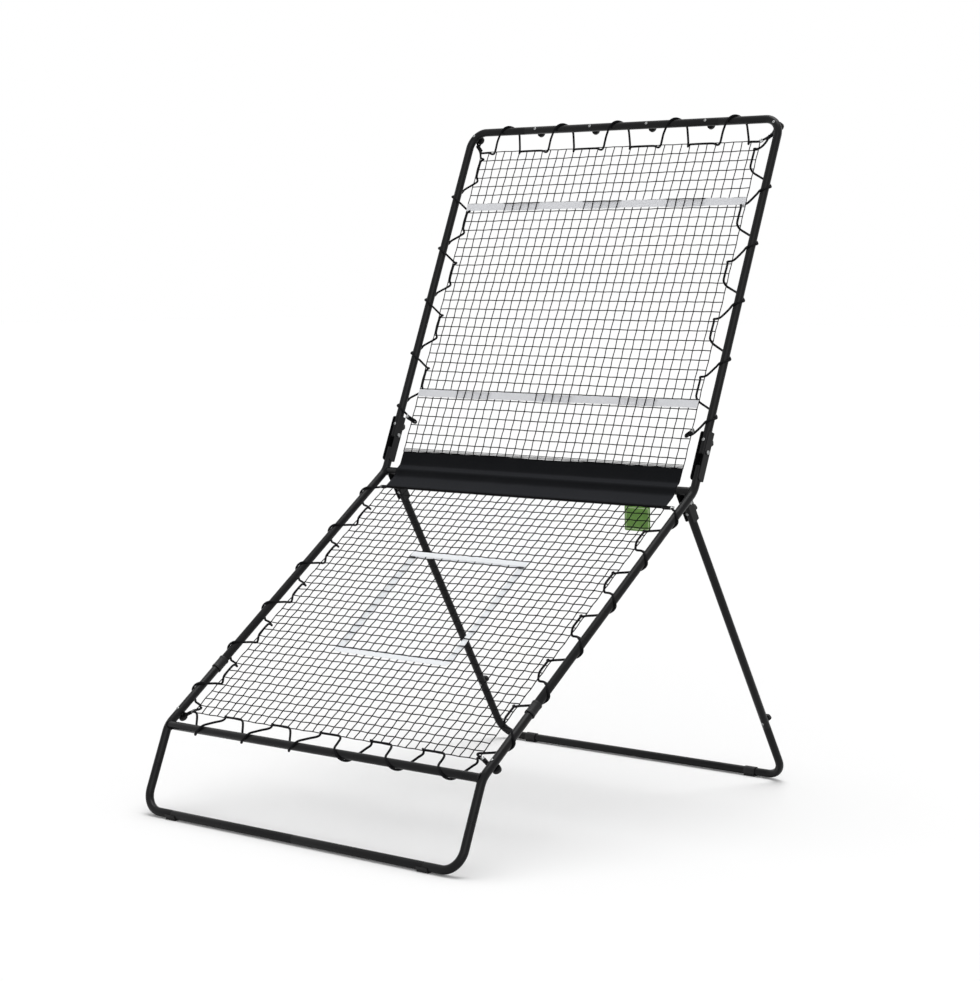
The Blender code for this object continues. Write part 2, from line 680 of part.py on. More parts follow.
def hinge_fittings():
    for side, sign in SIDES.items():
        x = sign * RAIL_X
        length = HINGE_SADDLE_END - HINGE_SADDLE_START
        centre = (HINGE_SADDLE_END + HINGE_SADDLE_START) / 2
        name = "hinge_saddle_" + side
        saddle = mesh_object(name, saddle_mesh(name, length), matrix=UPPER.matrix(x, centre))
        put(saddle, "black_powder_coat")
        open_saddle(saddle, name, UPPER, x, HINGE_PIVOT)
        pin("hinge_pin_" + side, UPPER.at(x, HINGE_PIVOT))
        place = UPPER.at(x, HINGE_PIVOT + PIVOT_TO_LOCK)
        lock_bolt("hinge_lock_bolt_" + side, place, UPPER.back, "upper_panel_hinge")
        star_knob("hinge_lock_knob_" + side, place, UPPER.back, SADDLE_OUTER + GAP, False)


def open_saddle(saddle, name, panel, x, pivot):
    drill([saddle], name + "_pin_hole", panel.at(x, pivot), X_AXIS, PIN_RADIUS + PIN_CLEARANCE, THROUGH)
    behind = panel.at(x, pivot + PIVOT_TO_LOCK, SADDLE_INNER)
    drill([saddle], name + "_bolt_hole", behind, panel.back, BOLT_RADIUS + LOCK_HOLE_CLEARANCE, TUBE_RADIUS)


def rear_legs(crossbar_outline):
    for side, sign in SIDES.items():
        x = sign * LEG_X
        name = "leg_saddle_" + side
        saddle = mesh_object(name, saddle_mesh(name, LEG_SADDLE_END), matrix=LEGS.matrix(x, LEG_SADDLE_END / 2))
        put(saddle, "black_powder_coat")
        cut(saddle, crossbar_outline)
        open_saddle(saddle, name, LEGS, x, LEG_PIVOT)
        pin("leg_pin_" + side, LEGS.at(x, LEG_PIVOT))
        lock = LEGS.at(x, LEG_PIVOT + PIVOT_TO_LOCK)
        lock_bolt("leg_lock_bolt_" + side, lock, LEG_BACK, "rear_leg_hinge")
        star_knob("leg_lock_knob_" + side, lock, LEG_BACK, SADDLE_OUTER + GAP, False)

        top = LEGS.at(x, LEG_PIVOT - TUBE_RADIUS * TUBE_END_SPARE)
        leg = tube("rear_leg_" + side, [top, LEGS.at(x, LEG_JOINT)], "rear_leg_hinge")
        round_end(leg, "rear_leg_end_" + side, LEGS, x, LEG_PIVOT, -LEG_DOWN)
        fit_hinge(leg, "leg_" + side, LEGS, x, LEG_PIVOT, PIVOT_TO_LOCK)

        joint_x = sign * (LEG_X - REAR_BAR_JOINT)
        corner = [LEGS.at(joint_x + sign * GAP, LEG_LENGTH), LEGS.at(x, LEG_LENGTH), LEGS.at(x, LEG_JOINT + GAP)]
        bend = tube("rear_foot_bend_" + side, bent_path(corner, FOOT_BEND), "rear_leg_hinge", spigot=True)
        clamp = LEGS.at(x, LEG_CLAMP)
        drill([leg, bend], "leg_clamp_hole_" + side, clamp, LEG_BACK, BOLT_RADIUS + BOLT_CLEARANCE, THROUGH)
        star_knob("leg_clamp_screw_" + side, clamp, LEG_BACK, TUBE_RADIUS + GAP, True, "rear_leg_hinge")

    half = LEG_X - REAR_BAR_JOINT
    left = LEGS.at(-half, LEG_LENGTH)
    right = LEGS.at(half, LEG_LENGTH)
    bar = tube("rear_foot_bar", [left, right], "rear_leg_hinge")
    extend_with_spigots(bar, left, right)


def feet():
    inner = TUBE_RADIUS + PAD_CLEARANCE
    outer = BAR_HEIGHT
    shoulder = math.degrees(math.asin(PAD_HALF_FLAT / outer)) + PAD_EASE
    turn = Matrix((Vector((0.0, 1.0, 0.0)), Vector((0.0, 0.0, 1.0)), X_AXIS)).transposed().to_4x4()
    flat = [(PAD_HALF_FLAT, -outer), (-PAD_HALF_FLAT, -outer)]
    for side, sign in SIDES.items():
        # the front pad is an open saddle under the bar
        lower = flat + arc(0.0, 0.0, outer, 270.0 - shoulder, 180.0, 5)
        lower += arc(0.0, 0.0, inner, 180.0, 360.0, 10)
        lower += arc(0.0, 0.0, outer, 360.0, 270.0 + shoulder, 5)
        name = "front_foot_pad_" + side
        place = FRONT_LEGS.at(sign * (RAIL_X - FRONT_BAR_JOINT))
        pad = mesh_object(name, plate_mesh(name, [lower], PAD_WIDTH), matrix=Matrix.Translation(place) @ turn)
        put(pad, "black_plastic")
        # the rear ring goes all round the bar
        around = flat + arc(0.0, 0.0, outer, 270.0 - shoulder, -90.0 + shoulder, 14)
        bore = arc(0.0, 0.0, inner, 0.0, 337.5, 15)
        name = "rear_foot_ring_" + side
        place = LEGS.at(sign * (LEG_X - REAR_BAR_JOINT), LEG_LENGTH)
        ring = mesh_object(name, plate_mesh(name, [around, bore], PAD_WIDTH), matrix=Matrix.Translation(place) @ turn)
        put(ring, "black_plastic", "rear_leg_hinge")


# Nets and soft pieces

def net(name, panel, foot, head, hinge=None):
    width = NET_HALF * 2
    height = head - foot
    pitch_x = (width - NET_STRAND) / NET_CELLS
    pitch_y = (height - NET_STRAND) / NET_CELLS
    outlines = [[(0.0, 0.0), (width, 0.0), (width, height), (0.0, height)]]
    for row in range(NET_CELLS):
        for column in range(NET_CELLS):
            x0 = NET_STRAND + column * pitch_x
            y0 = NET_STRAND + row * pitch_y
            x1 = x0 + pitch_x - NET_STRAND
            y1 = y0 + pitch_y - NET_STRAND
            outlines.append([(x0, y0), (x1, y0), (x1, y1), (x0, y1)])
    mesh = plate_mesh(name, outlines, NET_THICKNESS)
    item = mesh_object(name, mesh, matrix=flat_on(panel, -NET_HALF, foot))
    return put(item, "black_net", hinge, smooth=False)


def flat_on(panel, x, along, back=0.0):
    # local x runs across and y runs up the panel
    turn = Matrix((X_AXIS, panel.along, X_AXIS.cross(panel.along))).transposed().to_4x4()
    return Matrix.Translation(panel.at(x, along, back)) @ turn


def ribbon_back():
    return -(NET_THICKNESS / 2 + GAP + RIBBON_THICKNESS / 2)


def ribbons():
    places = {"upper_ribbon_bottom": UPPER_NET_FOOT + LOW_RIBBON_HEIGHT,
              "upper_ribbon_top": UPPER_NET_HEAD - HIGH_RIBBON_DEPTH}
    for name, height in places.items():
        outline = [(0.0, 0.0), (NET_HALF * 2, 0.0), (NET_HALF * 2, RIBBON_WIDTH), (0.0, RIBBON_WIDTH)]
        mesh = plate_mesh(name, [outline], RIBBON_THICKNESS)
        place = flat_on(UPPER, -NET_HALF, height - RIBBON_WIDTH / 2, ribbon_back())
        put(mesh_object(name, mesh, matrix=place), "white_ribbon", "upper_panel_hinge", smooth=False)


def target():
    # Four strips sewn into a frame, the outer corners cut off at 45 degrees
    w, h, c = TARGET_WIDTH / 2, TARGET_HEIGHT / 2, TARGET_CORNER
    outer = [(c - w, -h), (w - c, -h), (w, c - h), (w, h - c), (w - c, h), (c - w, h), (-w, h - c), (-w, c - h)]
    a, b = w - RIBBON_WIDTH, h - RIBBON_WIDTH
    inner = [(-a, -b), (a, -b), (a, b), (-a, b)]
    mesh = plate_mesh("target_ribbon", [outer, inner], RIBBON_THICKNESS)
    item = mesh_object("target_ribbon", mesh, matrix=flat_on(RAMP, 0.0, TARGET_CENTRE, ribbon_back()))
    put(item, "white_ribbon", smooth=False)


def crease_fabric():
    # From the upper net's foot, round the front of the middle crossbar, to the lower net's head
    radius = TUBE_RADIUS + CREASE_CLEARANCE + CLOTH_THICKNESS / 2
    middle = (UPRIGHT_ANGLE + RAMP_ANGLE + 180.0) / 2
    path = [UPPER.at(0.0, UPPER_NET_FOOT - GAP), UPPER.at(0.0, UPPER_NET_FOOT / 2, -CREASE_BELLY)]
    for step in range(5):
        angle = middle - CREASE_HALF_TURN + CREASE_HALF_TURN * step / 2
        path.append(MIDDLE + leaning(angle) * radius)
    path.append(RAMP.at(0.0, RAMP_LENGTH - LOWER_NET_MARGIN / 2, -CREASE_BELLY))
    path.append(RAMP.at(0.0, LOWER_NET_HEAD + GAP))
    work = bmesh.new()
    edge_verts = [work.verts.new(point - X_AXIS * NET_HALF) for point in path]
    edges = [work.edges.new(pair) for pair in zip(edge_verts, edge_verts[1:])]
    columns = 4
    for _ in range(columns):
        grown = bmesh.ops.extrude_edge_only(work, edges=edges)["geom"]
        verts = [item for item in grown if isinstance(item, bmesh.types.BMVert)]
        edges = [item for item in grown if isinstance(item, bmesh.types.BMEdge)]
        bmesh.ops.translate(work, verts=verts, vec=X_AXIS * NET_HALF * 2 / columns)
    bmesh.ops.recalc_face_normals(work, faces=work.faces)
    mesh = bpy.data.meshes.new("crease_fabric")
    work.to_mesh(mesh)
    work.free()
    item = mesh_object("crease_fabric", mesh)
    cloth = item.modifiers.new("cloth", "SOLIDIFY")
    cloth.thickness = CLOTH_THICKNESS
    cloth.offset = 0.0
    put(item, "black_cloth")


def hang_tag():
    # Hangs plumb from the cloth's lower edge, behind the net
    w = TAG_WIDTH / 2
    mesh = plate_mesh("hang_tag", [[(-w, -TAG_HEIGHT), (w, -TAG_HEIGHT), (w, 0.0), (-w, 0.0)]], TAG_THICKNESS)
    turn = Matrix((X_AXIS, Vector((0.0, 0.0, 1.0)), Vector((0.0, -1.0, 0.0)))).transposed().to_4x4()
    seam = RAMP.at(NET_HALF - TAG_TO_NET_EDGE, LOWER_NET_HEAD + GAP, CLOTH_THICKNESS / 2 + GAP)
    place = seam + Vector((0.0, TAG_THICKNESS / 2, 0.0))
    put(mesh_object("hang_tag", mesh, matrix=Matrix.Translation(place) @ turn), "green_card", smooth=False)


# Elastic lacing

def wraps(count, pitch, lace, reach, inset, front_first):
    # Each wrap as (along, out, front): a run in front of the net's edge, then a ring round the tube.
    # On its way to the tube's back the cord clears the net's edge first.
    radius = TUBE_RADIUS + CORD_CLEARANCE + CORD_RADIUS
    side = 1.0 if front_first else -1.0
    run, ring_start, ring_end = lace
    points = []
    for number in range(count):
        start = number * pitch
        end = start + pitch * run
        if front_first:
            points.append((start - RUN_TO_EDGE, CORD_EDGE, CORD_FRONT))
        points += [(start, -inset, CORD_FRONT), (end, -inset, CORD_FRONT)]
        if not front_first:
            points.append((end + RUN_TO_EDGE, CORD_EDGE, CORD_FRONT))
        for step in range(7):
            angle = math.radians(138.0 - 46.0 * step)
            along = start + pitch * (ring_start + (ring_end - ring_start) * step / 6)
            points.append((along, reach + radius * math.cos(angle), side * radius * math.sin(angle)))
    return points + [(count * pitch, CORD_EDGE, 0.0)]


def side_lacing(panel, sign, head, laced):
    # Runs down a rail from the head
    return [panel.at(sign * (NET_HALF + out), head - along, -front) for along, out, front in laced]


def bar_lacing(panel, start, net_edge, outward, laced):
    # Runs from left to right, outward of the net's edge
    return [panel.at(start + along, net_edge + outward * out, -front) for along, out, front in laced]


def corner_loop(panel, bolt_x, bolt_s, net_x, net_s, turn):
    # From the net's corner round the bolt's neck behind the tube and back
    bolt = Vector((bolt_x, bolt_s))
    to_net = Vector((net_x, net_s)) - bolt
    inward = to_net.normalized()
    side = Vector((-inward.y, inward.x)) * turn
    legs = [(to_net.length * LOOP_START, -CORD_FRONT), (LOOP_APPROACH, LOOP_APPROACH_DEPTH)]
    points = []
    for distance, back in legs:
        points.append((bolt + inward * distance + side * LOOP_SPREAD, back))
    for step in range(7):
        angle = math.radians(70.0 + 220.0 * step / 6)
        spoke = inward * math.cos(angle) + side * math.sin(angle)
        points.append((bolt + spoke * LOOP_RADIUS, TUBE_RADIUS + GAP + CAP_NECK_LENGTH / 2))
    for distance, back in reversed(legs):
        points.append((bolt + inward * distance - side * LOOP_SPREAD, back))
    return [panel.at(place.x, place.y, back) for place, back in points]


def cord(name, points, hinge=None):
    curve = swept_curve(name, points, [1.0] * len(points), CORD_RADIUS, SIDES_OF_CORD, True)
    item = bpy.data.objects.new(name, curve)
    PARTS.objects.link(item)
    return put(item, "black_elastic", hinge)


def upper_lacing():
    head = UPPER_LENGTH - SIDE_LACE_HEAD
    pitch = (head - HINGE_SADDLE_END + SIDE_LACE_TAIL) / SIDE_WRAPS
    laced = wraps(SIDE_WRAPS, pitch, SIDE_LACE, NET_SIDE_MARGIN, UPPER_RUN_INSET, False)
    bolt_x, bolt_s = top_corner(1.0)
    points = side_lacing(UPPER, -1.0, head, laced)[::-1]
    points += corner_loop(UPPER, -bolt_x, bolt_s, -NET_HALF, UPPER_NET_HEAD, -1.0)
    start = TOP_LACE_INSET + TOP_LACE_SHIFT - RAIL_X
    # the first run starts at the left corner loop, and the last one ends at the right one
    laced_top = wraps(TOP_BOLTS + 2, TOP_PITCH, TOP_LACE, UPPER_NET_MARGIN, BAR_RUN_INSET, True)[2:-9]
    points += bar_lacing(UPPER, start, UPPER_NET_HEAD, 1.0, laced_top)
    points += corner_loop(UPPER, bolt_x, bolt_s, NET_HALF, UPPER_NET_HEAD, -1.0)
    points += side_lacing(UPPER, 1.0, head, laced)
    cord("upper_lacing", points, "upper_panel_hinge")


def foot_lacing():
    # The left half goes behind the crossbar first, the right half in front of it
    half = FOOT_WRAPS // 2
    pitch = (RAIL_SPACING - FOOT_LACE_INSET * 2) / FOOT_WRAPS
    start = FOOT_LACE_INSET + FOOT_LACE_SHIFT - RAIL_X
    left = wraps(half, pitch, FOOT_LACE_LEFT, LOWER_NET_FOOT, BAR_RUN_INSET, False)[1:-1]
    right = wraps(half + 1, pitch, FOOT_LACE_RIGHT, LOWER_NET_FOOT, BAR_RUN_INSET, True)[1:-9]
    points = bar_lacing(RAMP, start, LOWER_NET_FOOT, -1.0, left)
    return points + bar_lacing(RAMP, start + half * pitch, LOWER_NET_FOOT, -1.0, right)


def lower_lacing():
    pitch = (RAMP_LENGTH - RAMP_LACE_TAIL) / RAMP_WRAPS
    laced = wraps(RAMP_WRAPS, pitch, RAMP_LACE, NET_SIDE_MARGIN, LOWER_RUN_INSET, True)[3:]
    edge = NET_HALF + CORD_EDGE
    points = [RAMP.at(-edge, LOWER_NET_HEAD)] + side_lacing(RAMP, -1.0, RAMP_LENGTH, laced)
    points += corner_loop(RAMP, -RAIL_X, LOWER_CORNER_BOLT, -NET_HALF, LOWER_NET_FOOT, 1.0)
    points += foot_lacing()
    points += corner_loop(RAMP, RAIL_X, LOWER_CORNER_BOLT, NET_HALF, LOWER_NET_FOOT, 1.0)
    points += side_lacing(RAMP, 1.0, RAMP_LENGTH, laced)[::-1] + [RAMP.at(edge, LOWER_NET_HEAD)]
    cord("lower_lacing", points)


def build():
    make_materials()
    add_hinge("upper_panel_hinge", UPPER.at(0.0, HINGE_PIVOT))
    add_hinge("rear_leg_hinge", LEGS.at(0.0, LEG_PIVOT))
    bpy.context.view_layer.update()
    front_foot()
    lower_rails()
    crossbar_outline = upper_ramp_rails()
    side_rails()
    top_bar()
    hinge_fittings()
    rear_legs(crossbar_outline)
    feet()
    for side, sign in SIDES.items():
        cap_bolt("lower_corner_bolt_" + side, RAMP.at(sign * RAIL_X, LOWER_CORNER_BOLT), RAMP.back)
    net("upper_net", UPPER, UPPER_NET_FOOT, UPPER_NET_HEAD, "upper_panel_hinge")
    net("lower_net", RAMP, LOWER_NET_FOOT, LOWER_NET_HEAD)
    ribbons()
    target()
    crease_fabric()
    hang_tag()
    upper_lacing()
    lower_lacing()


build()
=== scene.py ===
# Padel rebounder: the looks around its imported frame.
# Metres, +Z up, the player stands at -Y. Every piece takes its place from the frame's nodes
# and from the distances named beside its code.

import json
import math

import bmesh
import bpy
import numpy as np
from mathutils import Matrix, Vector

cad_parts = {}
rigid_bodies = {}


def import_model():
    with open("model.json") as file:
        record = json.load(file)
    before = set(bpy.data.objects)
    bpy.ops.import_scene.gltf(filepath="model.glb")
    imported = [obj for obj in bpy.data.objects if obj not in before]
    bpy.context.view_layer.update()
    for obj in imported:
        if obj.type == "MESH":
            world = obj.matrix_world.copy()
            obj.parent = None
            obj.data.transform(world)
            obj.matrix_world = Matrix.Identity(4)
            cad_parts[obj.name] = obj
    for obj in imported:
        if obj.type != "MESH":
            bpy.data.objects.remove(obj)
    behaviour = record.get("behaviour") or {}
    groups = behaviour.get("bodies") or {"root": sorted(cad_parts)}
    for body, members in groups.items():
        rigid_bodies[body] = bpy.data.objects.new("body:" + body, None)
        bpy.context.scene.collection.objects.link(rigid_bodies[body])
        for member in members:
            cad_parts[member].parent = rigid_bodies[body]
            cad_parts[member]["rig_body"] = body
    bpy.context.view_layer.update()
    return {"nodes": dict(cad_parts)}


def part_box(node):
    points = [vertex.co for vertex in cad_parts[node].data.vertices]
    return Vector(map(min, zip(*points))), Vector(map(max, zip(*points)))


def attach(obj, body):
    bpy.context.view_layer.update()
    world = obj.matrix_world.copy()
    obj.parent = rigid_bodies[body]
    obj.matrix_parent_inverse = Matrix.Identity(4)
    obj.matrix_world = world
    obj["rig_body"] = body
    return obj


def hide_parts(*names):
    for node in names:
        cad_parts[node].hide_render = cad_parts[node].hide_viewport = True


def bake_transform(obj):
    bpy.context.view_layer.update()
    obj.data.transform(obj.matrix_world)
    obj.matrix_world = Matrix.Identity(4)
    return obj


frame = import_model()
print("frame loaded:", len(frame["nodes"]), "nodes")


# Places, read from the frame

xAxis = np.array([1.0, 0.0, 0.0])
sides = {"left": -1.0, "right": 1.0}


def unit(vectors):
    return vectors / np.linalg.norm(vectors, axis=-1, keepdims=True)


def middleOf(node):
    low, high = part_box(node)
    return (np.array(low) + np.array(high)) / 2


def onAxis(node):
    # the middle of a node, moved across to the middle of the frame
    return middleOf(node) * np.array([0.0, 1.0, 1.0])


def makePanel(origin, head):
    # a flat side of the frame: along runs up or down it, back points away from the player
    along = unit(head - origin)
    back = np.array([0.0, abs(along[2]), -along[1] * np.sign(along[2])])
    return {"origin": origin, "along": along, "back": back}


def at(panel, x, along=0.0, back=0.0):
    # x across + distance along the panel + distance behind it, for single numbers or whole arrays
    x, along, back = np.broadcast_arrays(x, along, back)
    return (panel["origin"] + x[..., None] * xAxis + along[..., None] * panel["along"]
            + back[..., None] * panel["back"])


places = {
    "legPivot": 0.0365,        # down the rear leg, from the middle crossbar
    "hingePivot": 0.1215,      # up the upper panel, from the middle crossbar
    "pivotToLock": 0.0352,
    "stubEnd": 0.078,
    "collar": 0.2637,          # up the ramp, from the lower crossbar
    "frontLegJoint": 0.135,
    "frontBarJoint": 0.1195,
    "rearBarJoint": 0.1245,
    "rearLegJoint": 0.197,     # up the rear leg, from the foot bar
    "clampToJoint": 0.023,
    "topBarJoint": 0.2245,
    "lowerCornerBolt": 0.0565,
}

frontBar, lowerBar, middleBar = (onAxis(node) for node in ("front_foot_bar_left", "lower_crossbar",
                                                           "middle_crossbar"))
topBar, rearBar, legPin = (onAxis(node) for node in ("top_bar", "rear_foot_bar", "leg_pin_left"))
frontLegs = makePanel(frontBar, lowerBar)
ramp = makePanel(lowerBar, middleBar)
upper = makePanel(middleBar, topBar)
legs = makePanel(legPin - unit(rearBar - legPin) * places["legPivot"], rearBar)
rampLength = np.linalg.norm(middleBar - lowerBar)
upperLength = np.linalg.norm(topBar - middleBar)
legLength = np.linalg.norm(rearBar - legs["origin"])
railX, legX = middleOf("rail_collar_right")[0], middleOf("leg_saddle_right")[0]


# Meshes worked out as grids

def gridShell(points, closedAlong=False, closedAround=True, alongUv=None, aroundUv=None, second=False):
    # rows go along the shape and columns round it; the two lists of metres make its map
    return {"points": points, "closed": (closedAlong, closedAround), "uv": (alongUv, aroundUv),
            "second": second}


def gridFaces(rows, columns, closedAlong, closedAround):
    # corner (row, column) of each square; a closed direction joins its last line to its first
    row, column = np.meshgrid(np.arange(rows - (not closedAlong)), np.arange(columns - (not closedAround)),
                              indexing="ij")
    row, column = row.ravel(), column.ravel()
    corners = [(row, column), (row + 1, column), (row + 1, column + 1), (row, column + 1)]
    return np.stack([(r % rows) * columns + c % columns for r, c in corners], 1), corners


def shellMap(alongUv, aroundUv, corners):
    if alongUv is None:
        return np.zeros((len(corners[0][0]), 4, 2))
    return np.stack([np.stack([alongUv[r], aroundUv[c]], 1) for r, c in corners], 1)


def shellMesh(name, shells, sharpAngle):
    points, faces, mapped, second, count = [], [], [], [], 0
    for shell in shells:
        rows, columns = shell["points"].shape[:2]
        squares, corners = gridFaces(rows, columns, *shell["closed"])
        points.append(shell["points"].reshape(-1, 3))
        faces.append(squares + count)
        mapped.append(shellMap(*shell["uv"], corners))
        second.append(np.full(len(squares), shell["second"], np.int32))
        count += rows * columns
    points, faces, mapped = np.concatenate(points), np.concatenate(faces), np.concatenate(mapped)
    mesh = bpy.data.meshes.new(name)
    mesh.vertices.add(len(points))
    mesh.vertices.foreach_set("co", points.ravel())
    mesh.loops.add(faces.size)
    mesh.loops.foreach_set("vertex_index", faces.ravel())
    mesh.polygons.add(len(faces))
    mesh.polygons.foreach_set("loop_start", np.arange(len(faces)) * 4)
    mesh.polygons.foreach_set("material_index", np.concatenate(second))
    mesh.update(calc_edges=True)
    if any(shell["uv"][0] is not None for shell in shells):
        mesh.uv_layers.new(name="surface").data.foreach_set("uv", mapped.ravel())
    work = bmesh.new()
    work.from_mesh(mesh)
    bmesh.ops.remove_doubles(work, verts=work.verts, dist=1e-7)
    bmesh.ops.dissolve_degenerate(work, edges=work.edges, dist=1e-7)
    bmesh.ops.recalc_face_normals(work, faces=work.faces)
    work.to_mesh(mesh)
    work.free()
    mesh.shade_smooth()
    mesh.set_sharp_from_angle(angle=math.radians(sharpAngle))
    return mesh


def pieceName(node):
    first, *rest = node.split("_")
    return first + "".join(word.capitalize() for word in rest)


def makePiece(node, shells, finish, secondFinish=None, sharpAngle=35.0, rides=True):
    # a finished piece stands for its node and rides on that node's body
    made = bpy.data.objects.new(pieceName(node), shellMesh(pieceName(node), shells, sharpAngle))
    bpy.context.scene.collection.objects.link(made)
    made.data.materials.append(finishes[finish]["material"])
    if secondFinish:
        made.data.materials.append(finishes[secondFinish]["material"])
    if rides:
        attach(made, frame["nodes"][node]["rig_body"])
    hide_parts(node)
    return made


def softened(outline, radius, closed=False, steps=3):
    # each corner P becomes the curve (1-t)(1-t)A + 2t(1-t)P + ttB,
    # with A and B a radius from it on its two edges
    before, after = np.roll(outline, 1, 0) - outline, np.roll(outline, -1, 0) - outline
    lengths = np.stack([np.linalg.norm(before, axis=1), np.linalg.norm(after, axis=1)])
    reach = np.minimum(radius, 0.45 * lengths.min(0))[:, None]
    start, end = outline + unit(before) * reach, outline + unit(after) * reach
    t = np.linspace(0.0, 1.0, steps + 1)[None, :, None]
    curves = start[:, None] * (1 - t) ** 2 + outline[:, None] * 2 * t * (1 - t) + end[:, None] * t ** 2
    if closed:
        return curves.reshape(-1, 2)
    return np.concatenate([outline[:1], curves[1:-1].reshape(-1, 2), outline[-1:]])


def turned(place, axis, profile, steps=32, lobes=None):
    # point = place + radius (cos a u + sin a v) + height axis, for the profile's (radius, height) rows
    axis = unit(np.array(axis))
    u = unit(np.cross(axis, np.array([0.0, 0.0, 1.0]) if abs(axis[0]) > 0.9 else xAxis))
    v = np.cross(axis, u)
    angle = np.arange(steps) * 2 * np.pi / steps
    ring = np.cos(angle)[:, None] * u + np.sin(angle)[:, None] * v
    radius = profile[:, :1] * (lobes(angle, profile[:, :1]) if lobes else np.ones(steps))
    return place + radius[..., None] * ring + profile[:, 1][:, None, None] * axis


def thick(middle, normal, thickness):
    # a sheet with two sides: each row runs out on the front and home on the back,
    # and the end rows close on themselves
    half = normal * thickness / 2
    loop = np.concatenate([middle + half, (middle - half)[:, ::-1]], 1)
    seam = np.concatenate([middle, middle[:, ::-1]], 1)
    return np.concatenate([seam[:1], loop, seam[-1:]])


def walled(outer, inner, place, u, v, w, low, high, edge):
    # a bent wall carried along w: its section swells from its middle line
    # to full thickness over a rounded edge
    loop = np.concatenate([outer, inner[..., ::-1, :]], -2)
    line = (outer + inner) / 2
    middle = np.concatenate([line, line[..., ::-1, :]], -2)
    swell = np.array([0.0, 0.55, 0.85, 1.0, 1.0, 0.85, 0.55, 0.0])[:, None, None]
    distance = np.array([low, low, low + edge * 0.3, low + edge, high - edge, high - edge * 0.3, high, high])
    section = middle + (loop - middle) * swell
    return (place + section[..., :1] * u + section[..., 1:] * v + distance[:, None, None] * w)


# Tubes

tube = {
    "radius": 0.0125,
    "wall": 0.0012,
    "spigotRadius": 0.0105,
    "spigotLength": 0.045,
    "shoulder": 0.00025,
    "rim": 0.0007,             # rounded edge of a cut end
    "gap": 0.0003,             # between pieces that touch
    "mouth": 0.004,            # least depth of a fish mouth
    "sides": 40,
    "bendStep": 3.0,           # degrees
    "footBend": 0.062,
    "railBend": 0.07,
    "topBend": 0.055,
}


def bentPath(corners, radius):
    # straight runs joined by bends: centre + start cos a + arriving radius sin a
    runs = [corners[:1]]
    for before, corner, after in zip(corners, corners[1:], corners[2:]):
        arriving, leaving = unit(corner - before), unit(after - corner)
        turn = math.acos(np.dot(arriving, leaving))
        centre = corner + unit(leaving - arriving) * radius / math.cos(turn / 2)
        start = corner - arriving * radius * math.tan(turn / 2) - centre
        angle = np.linspace(0.0, turn, math.ceil(math.degrees(turn) / tube["bendStep"]) + 1)[:, None]
        runs.append(centre + start * np.cos(angle) + arriving * radius * np.sin(angle))
    return np.concatenate(runs + [corners[-1:]])


def pathLength(path):
    return np.linalg.norm(np.diff(path, axis=0), axis=1).sum()


def tubeGrid(path, flat, profile, startShape=None, endShape=None):
    # rings of the profile's radius at its distances along a flat path:
    # centre + radius (cos a flat + sin a up);
    # a shape gives how far each point of an end slides along the tube
    lead = 0.08
    directions = unit(np.diff(path, axis=0))
    knots = np.concatenate([path[:1] - directions[:1] * lead, path, path[-1:] + directions[-1:] * lead])
    lengths = np.concatenate([[0.0], np.cumsum(np.linalg.norm(np.diff(knots, axis=0), axis=1))]) - lead
    turns = unit(np.concatenate([directions[:1], directions[:1], directions[:-1] + directions[1:],
                                 directions[-1:], directions[-1:]]))
    distance, radius = profile[:, 0], profile[:, 1]
    centre = np.stack([np.interp(distance, lengths, knots[:, k]) for k in range(3)], 1)
    ahead = unit(np.stack([np.interp(distance, lengths, turns[:, k]) for k in range(3)], 1))
    up = np.cross(ahead, flat)
    angle = np.arange(tube["sides"]) * 2 * np.pi / tube["sides"]
    offset = radius[:, None, None] * (np.cos(angle)[:, None] * flat + np.sin(angle)[:, None] * up[:, None])
    slide = np.zeros(offset.shape[:2])
    if startShape:
        slide = np.where(distance[:, None] < tube["rim"] * 2, startShape(offset), slide)
    if endShape:
        slide = np.where(distance[:, None] > pathLength(path) - tube["rim"] * 2, -endShape(offset), slide)
    return centre[:, None] + offset + slide[..., None] * ahead[:, None]


def tubeShell(path, flat, spigots=(False, False), startShape=None, endShape=None):
    # the outer wall runs out and the inner wall runs home, so the shell closes on itself
    length = pathLength(path)
    inside = np.cumsum(np.linalg.norm(np.diff(path, axis=0), axis=1))[:-1]
    quarter = np.linspace(0.0, np.pi / 2, 4)
    rim = np.stack([tube["rim"] * (1 - np.sin(quarter)),
                    tube["radius"] - tube["rim"] * (1 - np.cos(quarter))], 1)
    start, end = rim[::-1], rim * [-1, 1] + [length, 0]
    outer = np.concatenate([start, np.stack([inside, np.full(len(inside), tube["radius"])], 1), end])
    inner = np.stack([np.concatenate([[0.0], inside, [length]]),
                      np.full(len(inside) + 2, tube["radius"] - tube["wall"])], 1)
    plug = np.array([[tube["shoulder"], tube["spigotRadius"]],
                     [tube["spigotLength"] - tube["rim"], tube["spigotRadius"]],
                     [tube["spigotLength"], tube["spigotRadius"] - tube["rim"]]])
    bore = np.array([[tube["shoulder"], tube["spigotRadius"] - tube["wall"]],
                     [tube["spigotLength"], tube["spigotRadius"] - tube["wall"]]])
    if spigots[1]:
        outer = np.concatenate([outer, plug + [length, 0]])
        inner = np.concatenate([inner, bore + [length, 0]])
    if spigots[0]:
        outer = np.concatenate([plug[::-1] * [-1, 1], outer])
        inner = np.concatenate([bore[::-1] * [-1, 1], inner])
    profile = np.concatenate([outer, inner[::-1]])
    return gridShell(tubeGrid(path, flat, profile, startShape, endShape), closedAlong=True)


